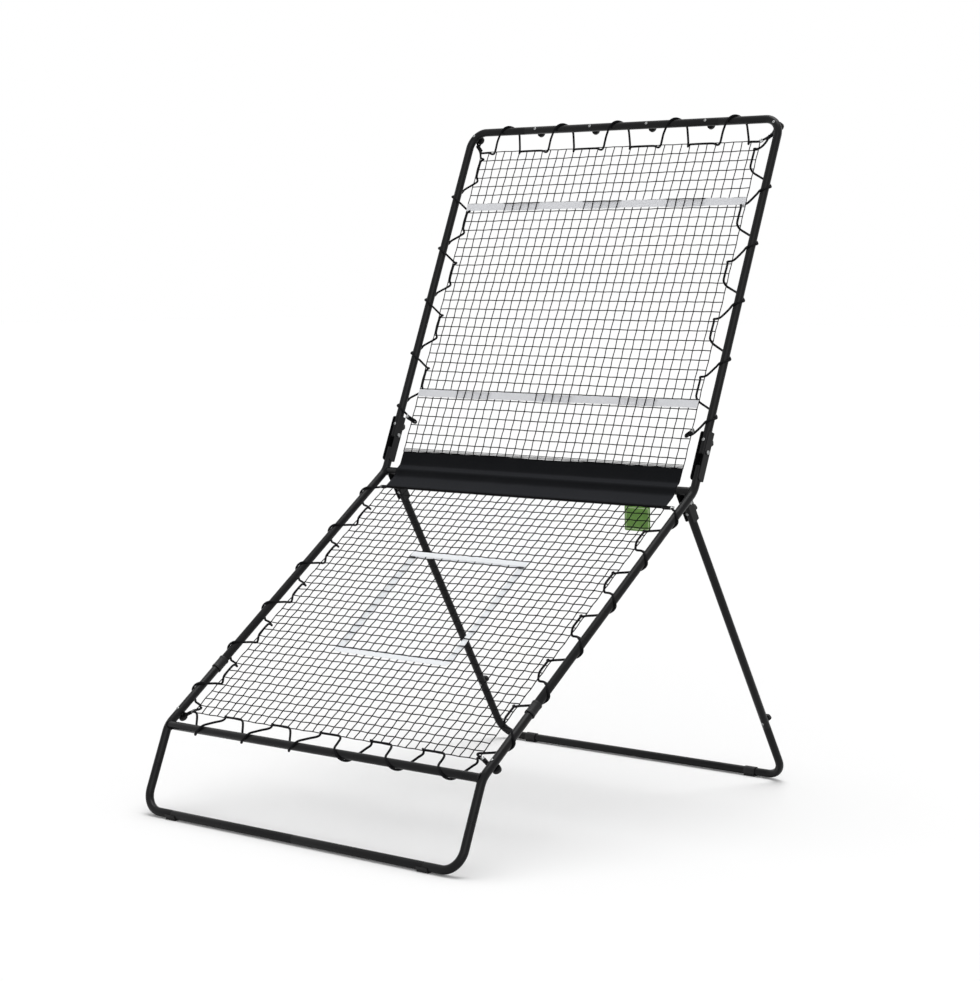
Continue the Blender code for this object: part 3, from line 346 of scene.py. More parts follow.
def halfRound(direction, radius):
    # slide = radius - sqrt(radius^2 - n^2), with n the point's height over the pivot's axis
    def slide(offset):
        height = np.abs(offset @ direction)
        return radius - np.sqrt(np.maximum(radius ** 2 - height ** 2, 0.0))
    return slide


def fishMouth(bend):
    # slide = sqrt(reach^2 - d^2), with d the point's distance from the rail's bent centre line
    reach = tube["radius"] + tube["gap"]

    def slide(offset):
        spoke = (bend["bar"] + offset - bend["centre"])[..., 1:]
        apart = np.abs(np.linalg.norm(spoke, axis=-1) - bend["radius"])
        return np.sqrt(np.maximum(reach ** 2 - apart ** 2, tube["mouth"] ** 2))
    return slide


def railBendAt(corner, arriving, leaving):
    turn = math.acos(np.dot(arriving, leaving))
    centre = corner + unit(leaving - arriving) * tube["railBend"] / math.cos(turn / 2)
    return {"bar": corner, "centre": centre, "radius": tube["railBend"]}


weld = {
    "radius": 0.0021,
    "ripple": 0.00035,
    "ripples": 26,
    "sides": 8,
    "steps": 156,
}


def weldBead(bend, end):
    # a ring of radius r + ripple sin(n a) that follows the fish mouth where the bar meets the rail
    angle = np.arange(weld["steps"]) * 2 * np.pi / weld["steps"]
    spoke = np.stack([np.zeros(len(angle)), np.cos(angle), np.sin(angle)], 1)
    reach = fishMouth(bend)(spoke * tube["radius"])
    line = bend["bar"] + spoke * (tube["radius"] + weld["radius"] * 0.25) - xAxis * end * reach[:, None]
    line = line + xAxis * end * (railX - weld["radius"] * 0.2)
    unevenness = 0.7 + 0.3 * np.sin(3 * angle)
    swell = weld["radius"] + weld["ripple"] * np.sin(weld["ripples"] * angle) * unevenness
    around = np.arange(weld["sides"]) * 2 * np.pi / weld["sides"]
    offset = np.cos(around)[None, :, None] * spoke[:, None] + np.sin(around)[None, :, None] * xAxis
    return gridShell(line[:, None] + swell[:, None, None] * offset, closedAlong=True)


def makeTubes():
    gap = tube["gap"]
    frontBend = railBendAt(lowerBar, frontLegs["along"], ramp["along"])
    middleBend = railBendAt(middleBar, ramp["along"], upper["along"])
    legJoint = legLength - places["rearLegJoint"]
    for side, sign in sides.items():
        x, joint = sign * railX, sign * (railX - places["frontBarJoint"])
        path = bentPath(np.array([at(frontLegs, joint + sign * gap), at(frontLegs, x),
                                  at(frontLegs, x, places["frontLegJoint"])]), tube["footBend"])
        bend = tubeShell(path, frontLegs["back"], (False, True))
        makePiece("front_foot_bend_" + side, [bend], "powderCoat")
        path = np.array([at(frontLegs, sign * gap / 2), at(frontLegs, joint)])
        if side == "right":
            path = path[::-1]
        makePiece("front_foot_bar_" + side, [tubeShell(path, frontLegs["back"], (False, True))], "powderCoat")
        path = bentPath(np.array([at(frontLegs, x, places["frontLegJoint"] + gap), lowerBar + xAxis * x,
                                  at(ramp, x, places["collar"])]), tube["railBend"])
        makePiece("lower_rail_" + side, [tubeShell(path, xAxis, (False, True))], "powderCoat")
        path = bentPath(np.array([at(ramp, x, places["collar"] + gap), middleBar + xAxis * x,
                                  at(upper, x, places["stubEnd"])]), tube["railBend"])
        makePiece("upper_ramp_rail_" + side, [tubeShell(path, xAxis)], "powderCoat")
        topJoint = at(upper, sign * (railX - places["topBarJoint"]), upperLength)
        path = bentPath(np.array([at(upper, x, places["hingePivot"] - tube["radius"]),
                                  at(upper, x, upperLength), topJoint]), tube["topBend"])
        shape = halfRound(upper["back"], tube["radius"])
        makePiece("side_rail_" + side, [tubeShell(path, upper["back"], startShape=shape)], "powderCoat")
        path = np.array([at(legs, sign * legX, places["legPivot"] - tube["radius"]),
                         at(legs, sign * legX, legJoint)])
        shape = halfRound(legs["back"], tube["radius"])
        makePiece("rear_leg_" + side, [tubeShell(path, legs["back"], startShape=shape)], "powderCoat")
        path = bentPath(np.array([at(legs, sign * (legX - places["rearBarJoint"] + gap), legLength),
                                  at(legs, sign * legX, legLength), at(legs, sign * legX, legJoint + gap)]),
                        tube["footBend"])
        makePiece("rear_foot_bend_" + side, [tubeShell(path, legs["back"], (False, True))], "powderCoat")
    for node, bend in (("lower_crossbar", frontBend), ("middle_crossbar", middleBend)):
        path = bend["bar"] + np.array([[-railX, 0.0, 0.0], [railX, 0.0, 0.0]])
        bar = tubeShell(path, frontLegs["back"], startShape=fishMouth(bend), endShape=fishMouth(bend))
        makePiece(node, [bar, weldBead(bend, -1.0), weldBead(bend, 1.0)], "powderCoat")
    for node, bar, flat, half in (("top_bar", topBar, upper["back"], railX - places["topBarJoint"] - gap),
                                  ("rear_foot_bar", rearBar, legs["back"], legX - places["rearBarJoint"])):
        path = bar + np.array([[-half, 0.0, 0.0], [half, 0.0, 0.0]])
        makePiece(node, [tubeShell(path, flat, (True, True))], "powderCoat")
    print("tubes made")


# Collars, saddles, pins, bolts and knobs

fittings = {
    "collarLength": 0.043,
    "collarWall": 0.0023,
    "collarGap": 0.0007,
    "collarBand": (0.006, 0.0075),                  # from a mouth, to the step down from its thicker band
    "collarEdge": 0.0009,      # rounded edges of a collar
    "saddleGap": 0.0007,
    "saddleWall": 0.0022,
    "saddleLip": 0.0011,
    "saddleCorner": 0.008,
    "saddleFold": 0.0028,      # outer radius of the folded corners
    "saddleEdge": 0.0006,
    "hingeSaddle": (0.0346, 0.1847),
    "legSaddle": (0.0, 0.103),
    "pinRadius": 0.004,
    "pinHead": 0.0065,
    "pinHeadHeight": 0.005,
    "pinBevel": 0.0018,
    "pinEdge": 0.0007,
    "boltRadius": 0.003,
    "boltTip": 0.0006,         # tapered end of a shank
    "lockHoleGap": 0.0013,     # round a lock bolt, in the saddle
    "lockTipSetback": 0.0004,  # of its end, inside the saddle's back face
    "shankInCap": 0.001,       # how far a shank runs into its nut or screw
    "headRadius": 0.0046,
    "headHeight": 0.0027,
    "capNeck": (0.004, 0.0072),
    "capRadius": 0.0130,
    "capSkirt": 0.0065,
    "capDome": 0.006,
    "capEdge": 0.0008,
    "knobRadius": 0.012,
    "knobNeck": (0.0075, 0.003),
    "knobGrip": 0.0065,
    "knobDome": 0.0055,
    "knobLobes": 5,
    "knobLobeDepth": 0.16,
    "knobEdge": 0.0011,
}


def makeCollars():
    inner = tube["radius"] + fittings["collarGap"]
    outer, half = inner + fittings["collarWall"], fittings["collarLength"] / 2
    step = fittings["collarWall"] * 0.35
    # a thicker band at each mouth, as on a moulded sleeve
    band, waist = fittings["collarBand"]
    outline = np.array([(inner, half), (outer, half), (outer, half - band), (outer - step, half - waist),
                        (outer - step, -half + waist), (outer, -half + band), (outer, -half), (inner, -half)])
    for side, sign in sides.items():
        place = at(ramp, sign * railX, places["collar"])
        grid = turned(place, ramp["along"], softened(outline, fittings["collarEdge"], closed=True), 48)
        makePiece("rail_collar_" + side, [gridShell(grid, closedAlong=True)], "mouldedPlastic")


def foldedPath(radius, drawn):
    # one face of the channel's section, from flange tip to flange tip:
    # straight, a fold at each corner, a flat web
    centre = tube["radius"] + fittings["saddleGap"] + fittings["saddleWall"] - fittings["saddleFold"]
    side, reach = centre + radius, tube["radius"] + fittings["saddleLip"]
    turn = np.linspace(0.0, np.pi / 2, 7)
    fold = centre + radius * np.stack([np.cos(turn), np.sin(turn)], 1)
    web = np.stack([np.linspace(centre, -centre, 9)[1:-1], np.full(7, side)], 1)
    bend = np.concatenate([fold, web, fold[::-1] * [-1, 1]])
    flange = np.linspace(0.0, 1.0, 7)[None, :-1]
    tip = (drawn - reach)[:, None]
    height = tip + (centre - tip) * flange
    right = np.stack([np.full(height.shape, side), height], -1)
    left = np.stack([np.full(height.shape, -side), height], -1)[:, ::-1]
    return np.concatenate([right, np.broadcast_to(bend, (len(drawn), *bend.shape)), left], 1)


def saddleShell(panel, x, low, high):
    # rows along the channel; near its ends the flange tips draw back
    # by corner (1 - sin a) at corner (1 - cos a)
    corner, edge = fittings["saddleCorner"], fittings["saddleEdge"]
    turn = np.linspace(0.0, np.pi / 2, 9)
    start = np.concatenate([[0.0, 0.0, edge * 0.3, edge], edge + (corner - edge) * (1 - np.cos(turn[1:]))])
    pulled = np.concatenate([[corner] * 4, corner * (1 - np.sin(turn[1:]))])
    straight = np.linspace(low + corner, high - corner, 25)[1:-1]
    distance = np.concatenate([low + start, straight, high - start[::-1]])
    drawn = np.concatenate([pulled, np.zeros(len(straight)), pulled[::-1]])
    swell = np.ones(len(distance))
    swell[[0, -1]], swell[[1, -2]], swell[[2, -3]] = 0.0, 0.55, 0.85
    outer = foldedPath(fittings["saddleFold"], drawn)
    inner = foldedPath(fittings["saddleFold"] - fittings["saddleWall"], drawn)
    loop = np.concatenate([outer, inner[:, ::-1]], 1)
    line = (outer + inner) / 2
    middle = np.concatenate([line, line[:, ::-1]], 1)
    section = middle + (loop - middle) * swell[:, None, None]
    return gridShell(at(panel, x + section[..., 0], distance[:, None], section[..., 1]))


def pierced(made, place, axis, radius, half):
    # a round hole through a piece
    rim = np.array([(0.0, half), (radius, half), (radius, -half), (0.0, -half)])
    drillMesh = shellMesh("drill", [gridShell(turned(place, axis, rim, 32))], 35.0)
    drill = bpy.data.objects.new("drill", drillMesh)
    bpy.context.scene.collection.objects.link(drill)
    cut = made.modifiers.new("hole", "BOOLEAN")
    cut.operation, cut.solver, cut.object = "DIFFERENCE", "EXACT", drill
    cutMesh = bpy.data.meshes.new_from_object(made.evaluated_get(bpy.context.evaluated_depsgraph_get()))
    made.modifiers.clear()
    made.data = cutMesh
    cutMesh.set_sharp_from_angle(angle=math.radians(35.0))
    bpy.data.objects.remove(drill)
    bpy.data.meshes.remove(drillMesh)


def makeSaddles():
    for side, sign in sides.items():
        for name, panel, x in (("hinge", upper, sign * railX), ("leg", legs, sign * legX)):
            saddle = makePiece(name + "_saddle_" + side, [saddleShell(panel, x, *fittings[name + "Saddle"])],
                               "powderCoat")
            web = tube["radius"] + fittings["saddleGap"] + fittings["saddleWall"] / 2
            lock = at(panel, x, places[name + "Pivot"] + places["pivotToLock"], web)
            pierced(saddle, lock, panel["back"], fittings["boltRadius"] + fittings["lockHoleGap"],
                    fittings["saddleWall"] * 1.5)
    print("saddles made")


def headProfile(seat, radius, height):
    # a pan head from its rim to the middle of its crown: height = seat + height (1 - 0.55 (r / radius)^2.5)
    share = np.linspace(1.0, 0.0, 13)
    crown = np.stack([radius * share, seat + height * (1 - 0.55 * share ** 2.5)], 1)
    return np.concatenate([[(radius * 0.97, seat)], crown])


def crossRecess(grid, place, axis, radius, depth):
    # a cross of two slots sunk in the crown, deepest in the middle
    axis = unit(np.array(axis))
    offset = grid - place
    height = offset @ axis
    flat = offset - height[..., None] * axis
    u = unit(np.cross(axis, np.array([0.2, 0.1, 1.0])))
    a, b = np.abs(flat @ u), np.abs(flat @ np.cross(axis, u))
    narrow, wide = np.minimum(a, b) / radius, np.maximum(a, b) / radius
    slot = np.clip((0.2 - narrow) / 0.08, 0, 1) * np.clip((0.68 - wide) / 0.12, 0, 1)
    return grid - (slot * depth * (1.1 - wide))[..., None] * axis


def boltShell(place, axis, high, headAt):
    # shank up to high along the axis, with a cross-slotted head outside headAt
    radius, height = fittings["headRadius"], fittings["headHeight"]
    shank = np.array([(0.0, high), (fittings["boltRadius"] * 0.8, high),
                      (fittings["boltRadius"], high - fittings["boltTip"]), (fittings["boltRadius"], headAt)])
    head = headProfile(0.0, radius, height) * [1, -1] + [0, headAt]
    grid = turned(place, axis, np.concatenate([shank, head]), 64)
    recessed = crossRecess(grid, place + axis * (headAt - height), -axis, radius, height * 0.75)
    grid[len(shank) + 1:] = recessed[len(shank) + 1:]
    return gridShell(grid, second=True)


def capShell(place, axis, seat):
    # domed nut: narrow neck, wide skirt with a soft lip, round crown
    neck, length = fittings["capNeck"]
    skirt, radius = seat + length, fittings["capRadius"]
    crown = skirt + fittings["capSkirt"]
    turn = np.linspace(np.pi / 2, 0.0, 9)
    dome = np.stack([radius * np.cos(turn), crown + fittings["capDome"] * np.sin(turn)], 1)
    lower = softened(np.array([(radius, crown), (radius, skirt), (neck, skirt), (neck, seat),
                               (fittings["boltRadius"], seat), (0.0, seat)]), fittings["capEdge"])
    return gridShell(turned(place, axis, np.concatenate([dome, lower[1:]]), 40))


def knobShell(place, axis, seat):
    # five-lobed grip: radius (1 - depth (1 - cos 5a) / 2), with the lobes fading out over the crown
    neck, length = fittings["knobNeck"]
    low, radius = seat + length, fittings["knobRadius"]
    high = low + fittings["knobGrip"]
    turn = np.linspace(np.pi / 2, 0.0, 12)
    dome = np.stack([radius * np.cos(turn) ** 0.8, high + fittings["knobDome"] * np.sin(turn)], 1)
    lower = softened(np.array([(radius, high), (radius, low), (neck, low), (neck, seat), (0.0, seat)]),
                     fittings["knobEdge"])

    def lobes(angle, profileRadius):
        strength = np.clip((profileRadius - neck) / (radius - neck), 0, 1)
        return 1 - fittings["knobLobeDepth"] * strength * (1 - np.cos(fittings["knobLobes"] * angle)) / 2
    return gridShell(turned(place, axis, np.concatenate([dome, lower[1:]]), 80, lobes))


def pinShell(place):
    # a headed pin across the saddle: flat heads with a soft edge, a plain shank between
    face = tube["radius"] + fittings["saddleGap"] + fittings["saddleWall"] + tube["gap"]
    end, head, radius = face + fittings["pinHeadHeight"], fittings["pinHead"], fittings["pinRadius"]
    half = np.array([(0.0, end), (head * 0.72, end), (head, end - fittings["pinBevel"]), (head, face),
                     (radius, face)])
    profile = np.concatenate([half, half[::-1] * [1, -1]])
    return gridShell(turned(place, xAxis, softened(profile, fittings["pinEdge"]), 40))


def capped(node, place, axis):
    seat = tube["radius"] + tube["gap"]
    shells = [capShell(place, axis, seat), boltShell(place, axis, seat + fittings["shankInCap"], -seat)]
    makePiece(node, shells, "mouldedPlastic", "zincPlate")


def makeFasteners():
    seat = tube["radius"] + tube["gap"]
    wallFace = tube["radius"] + fittings["saddleGap"] + fittings["saddleWall"]
    head = -tube["radius"] - tube["gap"]
    inset = tube["topBend"] * (1 - math.sqrt(0.5))
    for side, sign in sides.items():
        for name, panel, x in (("hinge", upper, sign * railX), ("leg", legs, sign * legX)):
            pivot = places[name + "Pivot"]
            makePiece(name + "_pin_" + side, [pinShell(at(panel, x, pivot))], "zincPlate")
            lock = at(panel, x, pivot + places["pivotToLock"])
            bolt = boltShell(lock, panel["back"], wallFace - fittings["lockTipSetback"], head)
            makePiece(name + "_lock_bolt_" + side, [bolt], "zincPlate", "zincPlate")
            makePiece(name + "_lock_knob_" + side, [knobShell(lock, panel["back"], wallFace + tube["gap"])],
                      "mouldedPlastic")
        clamp = at(legs, sign * legX, legLength - places["rearLegJoint"] - places["clampToJoint"])
        screw = [knobShell(clamp, legs["back"], seat),
                 boltShell(clamp, legs["back"], seat + fittings["shankInCap"], head)]
        makePiece("leg_clamp_screw_" + side, screw, "mouldedPlastic", "zincPlate")
        capped("top_corner_bolt_" + side, at(upper, sign * (railX - inset), upperLength - inset),
               upper["back"])
        capped("lower_corner_bolt_" + side, at(ramp, sign * railX, places["lowerCornerBolt"]), ramp["back"])
    for number in range(1, 5):
        node = "top_bar_bolt_" + str(number)
        capped(node, topBar + xAxis * middleOf(node)[0], upper["back"])
    print("fasteners made")


# Feet

feet = {
    "padHeight": 0.0025,
    "padGap": 0.0006,
    "padWidth": 0.04,
    "halfFlat": 0.009,
    "ease": 7,                 # degrees round the pad, from its flat to its round side
    "spread": 1.15,            # widest point of the sole, in half flats
    "edge": 0.0007,
}


def makeFeet():
    inner = tube["radius"] + feet["padGap"]
    outer = tube["radius"] + feet["padHeight"]
    yAxis, zAxis = np.array([0.0, 1.0, 0.0]), np.array([0.0, 0.0, 1.0])
    half = feet["padWidth"] / 2

    def section(start, end, count):
        # the outer side follows the circle but never goes below the flat sole
        angle = np.radians(np.linspace(start, end, count))
        arm = np.stack([np.cos(angle), np.sin(angle)], 1)
        shape = arm * outer
        foot = np.degrees(np.arcsin(feet["halfFlat"] / outer))
        close = np.abs((np.degrees(angle) - 270 + 180) % 360 - 180) < foot + feet["ease"]
        shape[close] = arm[close] * (outer / np.maximum(-arm[close][:, 1:], 0.1))
        widest = feet["halfFlat"] * feet["spread"]
        shape[:, 0] = np.where(close, np.clip(shape[:, 0], -widest, widest), shape[:, 0])
        return shape, arm * inner
    for side, sign in sides.items():
        place = at(frontLegs, sign * (railX - places["frontBarJoint"]))
        grid = walled(*section(180, 360, 49), place, yAxis, zAxis, xAxis, -half, half, feet["edge"])
        makePiece("front_foot_pad_" + side, [gridShell(grid)], "mouldedPlastic")
        place = rearBar + xAxis * sign * (legX - places["rearBarJoint"])
        outerRing, innerRing = section(90, 450, 97)
        grid = walled(outerRing, innerRing, place, yAxis, zAxis, xAxis, -half, half, feet["edge"])
        makePiece("rear_foot_ring_" + side, [gridShell(grid)], "mouldedPlastic")
    print("feet made")


# Nets

net = {
    "half": 0.5508,            # half width
    "cells": 34,
    "twine": 0.0016,           # radius
    "over": 0.0009,            # how far a twine stands in front of its crossing
    "sides": 6,
    "steps": 4,                # rings per cell
    "footTwine": 0.0011,       # radius
    "footRows": (0.0030, 0.0065, 0.0105),           # above the net's foot
    "footBack": -0.0012,
    "hemPoints": 160,          # along a cord that follows the net's foot or head
    "stray": 0.0007,           # how far the mesh strays from square
    "upper": (0.068, 1.113),
    "lower": (0.0614, 1.1032),
}


def stray(across, along, seed):
    # slow unevenness: sums of sines of the two distances
    a, b = across * 9.0 + seed, along * 8.0 + 2 * seed
    x = np.sin(a + 1.7 * np.sin(b)) + 0.5 * np.sin(2.3 * b - 1.1 * a)
    y = np.sin(b * 1.1 + 1.3 * np.sin(1.2 * a)) + 0.5 * np.sin(2.1 * a + 0.7 * b)
    fade = np.clip((net["half"] - np.abs(across)) / 0.05, 0.25, 1.0)
    return x * net["stray"] * fade, y * net["stray"] * fade


def twineShells(panel, low, high, seed):
    # twine k follows its line, over and under the others as cos(pi (k + distance / cell))
    cells, reach = net["cells"], high - low
    shells = []
    around = np.arange(net["sides"]) * 2 * np.pi / net["sides"]
    turn = np.linspace(0.0, cells, cells * net["steps"] + 1)
    ends = np.concatenate([[0], np.arange(len(turn)), [len(turn) - 1]])
    radius = np.full(len(ends), net["twine"])
    radius[[0, -1]] = 0.0
    for number in range(cells + 1):
        fixed = np.full(len(turn), number / cells)
        wave = np.cos(np.pi * (number + turn)) * net["over"]
        for share, distance, back, flat in ((fixed, turn / cells, -wave, xAxis),
                                            (turn / cells, fixed, wave, panel["along"])):
            across, along = (share * 2 - 1) * net["half"], low + distance * reach
            dx, ds = stray(across, along, seed)
            line = at(panel, across + dx, along + ds, back)[ends]
            ring = np.cos(around)[:, None] * flat + np.sin(around)[:, None] * panel["back"]
            shells.append(gridShell(line[:, None] + radius[:, None, None] * ring))
    return shells


def makeNets():
    # three extra twines close the net's foot where it is sewn to the cloth
    across = np.linspace(-net["half"], net["half"], net["hemPoints"])
    foot = [cordShell(at(upper, across, net["upper"][0] + far, net["footBack"]), net["footTwine"])
            for far in net["footRows"]]
    upperNet = makePiece("upper_net", twineShells(upper, *net["upper"], 1.0) + foot, "netTwine",
                         sharpAngle=60.0, rides=False)
    # the net's foot hangs on the cloth at the middle crossbar; the net rides on no body and stays where it is
    # made
    at(upper, 0.0, 0.0)
    at(upper, 0.0, 0.17)
    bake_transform(upperNet)
    makePiece("lower_net", twineShells(ramp, *net["lower"], 4.0), "netTwine", sharpAngle=60.0)
    print("nets made")


# Ribbons woven through the nets

ribbon = {
    "width": 0.024,
    "thickness": 0.0006,
    "over": 0.0020,            # in front of or behind the net's middle
    "turn": 0.005,             # length of a step from front to back
    "upperBreaks": (-0.393, -0.251, -0.069, 0.077, 0.255, 0.397),
    "target": (0.450, 0.447, 0.599),
    "targetCorner": 0.019,
    "tuck": (0.28, 0.36),      # share of the target's bottom and top strips where they pass behind the net
    "stitch": (0.020, 0.0014, -0.0026),             # length and radius of a bar of stitching, its place back
}


def weaving(distance, breaks):
    # over * product of tanh steps: starts in front and changes side at each break
    side = np.full(distance.shape, -1.0)
    for place in breaks:
        side = side * -np.tanh((distance - place) / ribbon["turn"])
    return side * ribbon["over"]


def stripShell(panel, start, end, normalShift, corner=0.0, count=260):
    # a flat strip from start to end; both corners of its first edge are rounded:
    # inset = R - sqrt(R^2 - (R - w)^2)
    start, end = np.array(start), np.array(end)
    ahead = (end - start) / np.linalg.norm(end - start)
    square = np.array([-ahead[1], ahead[0]])
    across = np.linspace(-0.5, 0.5, 13)[None, :]
    share = np.linspace(0.0, 1.0, count)[:, None]
    short = np.clip(corner - (across + 0.5) * ribbon["width"], 0, None)
    inset = corner - np.sqrt(corner ** 2 - short ** 2)
    distance = inset + (np.linalg.norm(end - start) - 2 * inset) * share
    flat = start + distance[..., None] * ahead + across[..., None] * ribbon["width"] * square
    along, width = flat[..., 1], flat[..., 0]
    middle = at(panel, width, along, normalShift(distance, across))
    grid = thick(middle, panel["back"], ribbon["thickness"])
    alongUv = np.concatenate([[0.0], share[:, 0], [1.0]]) * np.linalg.norm(end - start)
    aroundUv = np.concatenate([across[0], across[0][::-1], across[0][:1]]) * ribbon["width"]
    return gridShell(grid, alongUv=alongUv, aroundUv=aroundUv)


def makeRibbons():
    for node in ("upper_ribbon_bottom", "upper_ribbon_top"):
        height = np.dot(middleOf(node) - upper["origin"], upper["along"])
        breaks = np.array(ribbon["upperBreaks"]) + net["half"]
        strip = stripShell(upper, (-net["half"], height), (net["half"], height),
                           lambda d, across: weaving(d, breaks))
        makePiece(node, [strip], "shadedTape", sharpAngle=60.0)
    width, height, centre = ribbon["target"]
    w, h, half = width / 2, height / 2, ribbon["width"] / 2

    def tucked(share):
        # in front of the net up to this share of its width, behind it beyond:
        # over tanh((across - share) / 0.1)
        return lambda d, across: ribbon["over"] * np.tanh((across - share) / 0.1) + d * 0

    def behind(d, across):
        return np.full(d.shape, ribbon["over"])
    low, high = centre - h + half, centre + h - half
    strips = [
        stripShell(ramp, (-w, low), (w, low), tucked(ribbon["tuck"][0]), ribbon["targetCorner"], 120),
        stripShell(ramp, (w, high), (-w, high), tucked(ribbon["tuck"][1]), count=60),
        stripShell(ramp, (w - half, low + half), (w - half, high - half), behind, count=60),
        stripShell(ramp, (half - w, high - half), (half - w, low + half), behind, count=60),
    ]
    # a dark bar of stitching where each side strip is sewn under the top one
    length, radius, back = ribbon["stitch"]
    stitch = [at(ramp, sign * (w - half) + np.linspace(-0.5, 0.5, 9) * length, high - half, back)
              for sign in sides.values()]
    strips += [{**cordShell(path, radius), "second": True} for path in stitch]
    makePiece("target_ribbon", strips, "litTape", "netTwine", sharpAngle=60.0)
    print("ribbons made")


# Cloth over the crease

cloth = {
    "thickness": 0.0011,
    "hem": 0.016,
    "hemThickness": 0.0009,
    "columns": 240,
    "step": 0.0025,            # between rows
    "stand": 0.0135,           # from the crossbar's axis
    "halfTurn": 25.0,
    # distance from the crossbar and in front of the panel, where the cloth lifts off it, on both sides
    "lift": [(0.042, 0.0008), (0.024, 0.0022)],
    "curl": [(0.071, 0.0004)],  # the same, where the lower hem turns under
    "wrinkle": 0.0012,
    "tuckedEnd": 0.0030,       # how far behind the net the lower hem ends
    "piping": 0.0022,          # radius
    "pipingBack": -0.0016,
    # how far down the cloth the painted light runs
    "paintedLightReach": 0.15,
    # (distance down the cloth, share of the painted light)
    "dust": [(0.044, 0.05), (0.050, 0.8), (0.061, 0.8), (0.068, 0.2), (0.074, 0.0), (0.086, 0.1),
             (0.097, 0.9)],
}


def smoothPath(points, step):
    # a curve through the points whose direction at each is the mean of the two runs that meet there:
    # P0 (1+2t)(1-t)^2 + P1 t^2 (3-2t) + reach (T0 t (1-t)^2 - T1 t^2 (1-t)), evenly spaced afterwards
    runs = np.diff(points, axis=0)
    ways = unit(runs)
    heading = unit(np.concatenate([ways[:1], ways[:-1] + ways[1:], ways[-1:]]))
    reach = np.minimum(np.linalg.norm(runs, axis=1), 0.014)[:, None, None]
    t = np.linspace(0.0, 1.0, 13)[:-1][None, :, None]
    curve = (points[:-1, None] * (1 + 2 * t) * (1 - t) ** 2 + points[1:, None] * t * t * (3 - 2 * t)
             + reach * (heading[:-1, None] * t * (1 - t) ** 2 - heading[1:, None] * t * t * (1 - t)))
    return evenly(np.concatenate([curve.reshape(-1, points.shape[1]), points[-1:]]), step)


def evenly(path, step):
    lengths = np.concatenate([[0.0], np.cumsum(np.linalg.norm(np.diff(path, axis=0), axis=1))])
    wanted = np.linspace(0.0, lengths[-1], max(2, round(lengths[-1] / step)) + 1)
    return np.stack([np.interp(wanted, lengths, path[:, k]) for k in range(path.shape[1])], 1)


def clothLine():
    # section of the cloth: from the upper net's foot, round the front of the crossbar,
    # to the lower net's head
    opening = [np.arctan2(p["along"][2], p["along"][1]) for p in (upper, ramp)]
    middle = (opening[0] + opening[1] + np.pi) / 2
    angle = middle + np.radians(np.linspace(-1.0, 1.0, 5) * cloth["halfTurn"])
    arc = middleBar + cloth["stand"] * np.stack([angle * 0, np.cos(angle), np.sin(angle)], 1)
    foot, head = net["upper"][0], rampLength - net["lower"][1]
    # (distance from the crossbar, distance in front of the panel)
    above = [at(upper, 0.0, far, -front) for far, front in [(foot, 0.0)] + cloth["lift"]]
    below = [at(ramp, 0.0, rampLength - far, -front) for far, front in cloth["lift"][::-1] + cloth["curl"]]
    below.append(at(ramp, 0.0, rampLength - head, cloth["tuckedEnd"]))
    return smoothPath(np.array(above + list(arc) + below), cloth["step"])


def makeCloth():
    line = clothLine()
    length = pathLength(line)
    ahead = unit(np.gradient(line, axis=0))
    normal = np.cross(ahead, xAxis)
    if np.dot(normal[len(normal) // 2], [0.0, -1.0, 1.0]) < 0:
        normal = -normal
    v = np.linspace(0.0, length, len(line))[:, None]
    u = np.linspace(-net["half"], net["half"], cloth["columns"])[None, :]
    # pulled between the two nets, slack lies in slow folds that fade out on the bar and at the hems
    bar = np.exp(-((v / length - 0.46) / 0.13) ** 2)
    edge = np.minimum(v, length - v) / length
    slack = np.sin(u * 31 + 2.2 * np.sin(u * 7) + v * 22) + 0.6 * np.sin(u * 57 - v * 41 + 1.3)
    slack = slack * (0.35 + 2.2 * edge) * (1 - 0.85 * bar) * cloth["wrinkle"] * 0.5
    fromEdge = np.minimum(np.minimum(v, length - v), net["half"] - np.abs(u))
    fade = np.clip((cloth["hem"] - fromEdge) / 0.0015, 0, 1)
    thickness = cloth["thickness"] + cloth["hemThickness"] * fade
    middle = line[:, None] + u[..., None] * xAxis + slack[..., None] * normal[:, None]
    grid = thick(middle, normal[:, None], thickness[..., None])
    alongUv = np.concatenate([[0.0], v[:, 0], [length]])
    aroundUv = np.concatenate([u[0], u[0][::-1], u[0][:1]]) + net["half"]
    # a dark cord lies along the lower hem
    across = np.linspace(-net["half"], net["half"], net["hemPoints"])
    hem = at(ramp, across, net["lower"][1] + cloth["piping"], cloth["pipingBack"])
    shells = [gridShell(grid, alongUv=alongUv, aroundUv=aroundUv),
              {**cordShell(hem, cloth["piping"]), "second": True}]
    made = makePiece("crease_fabric", shells, "coatedCloth", "netTwine", sharpAngle=70.0, rides=False)
    at(upper, 0.0, 0.0)
    at(upper, 0.0, 0.17)
    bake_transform(made)
    print("cloth made")


# Elastic lacing

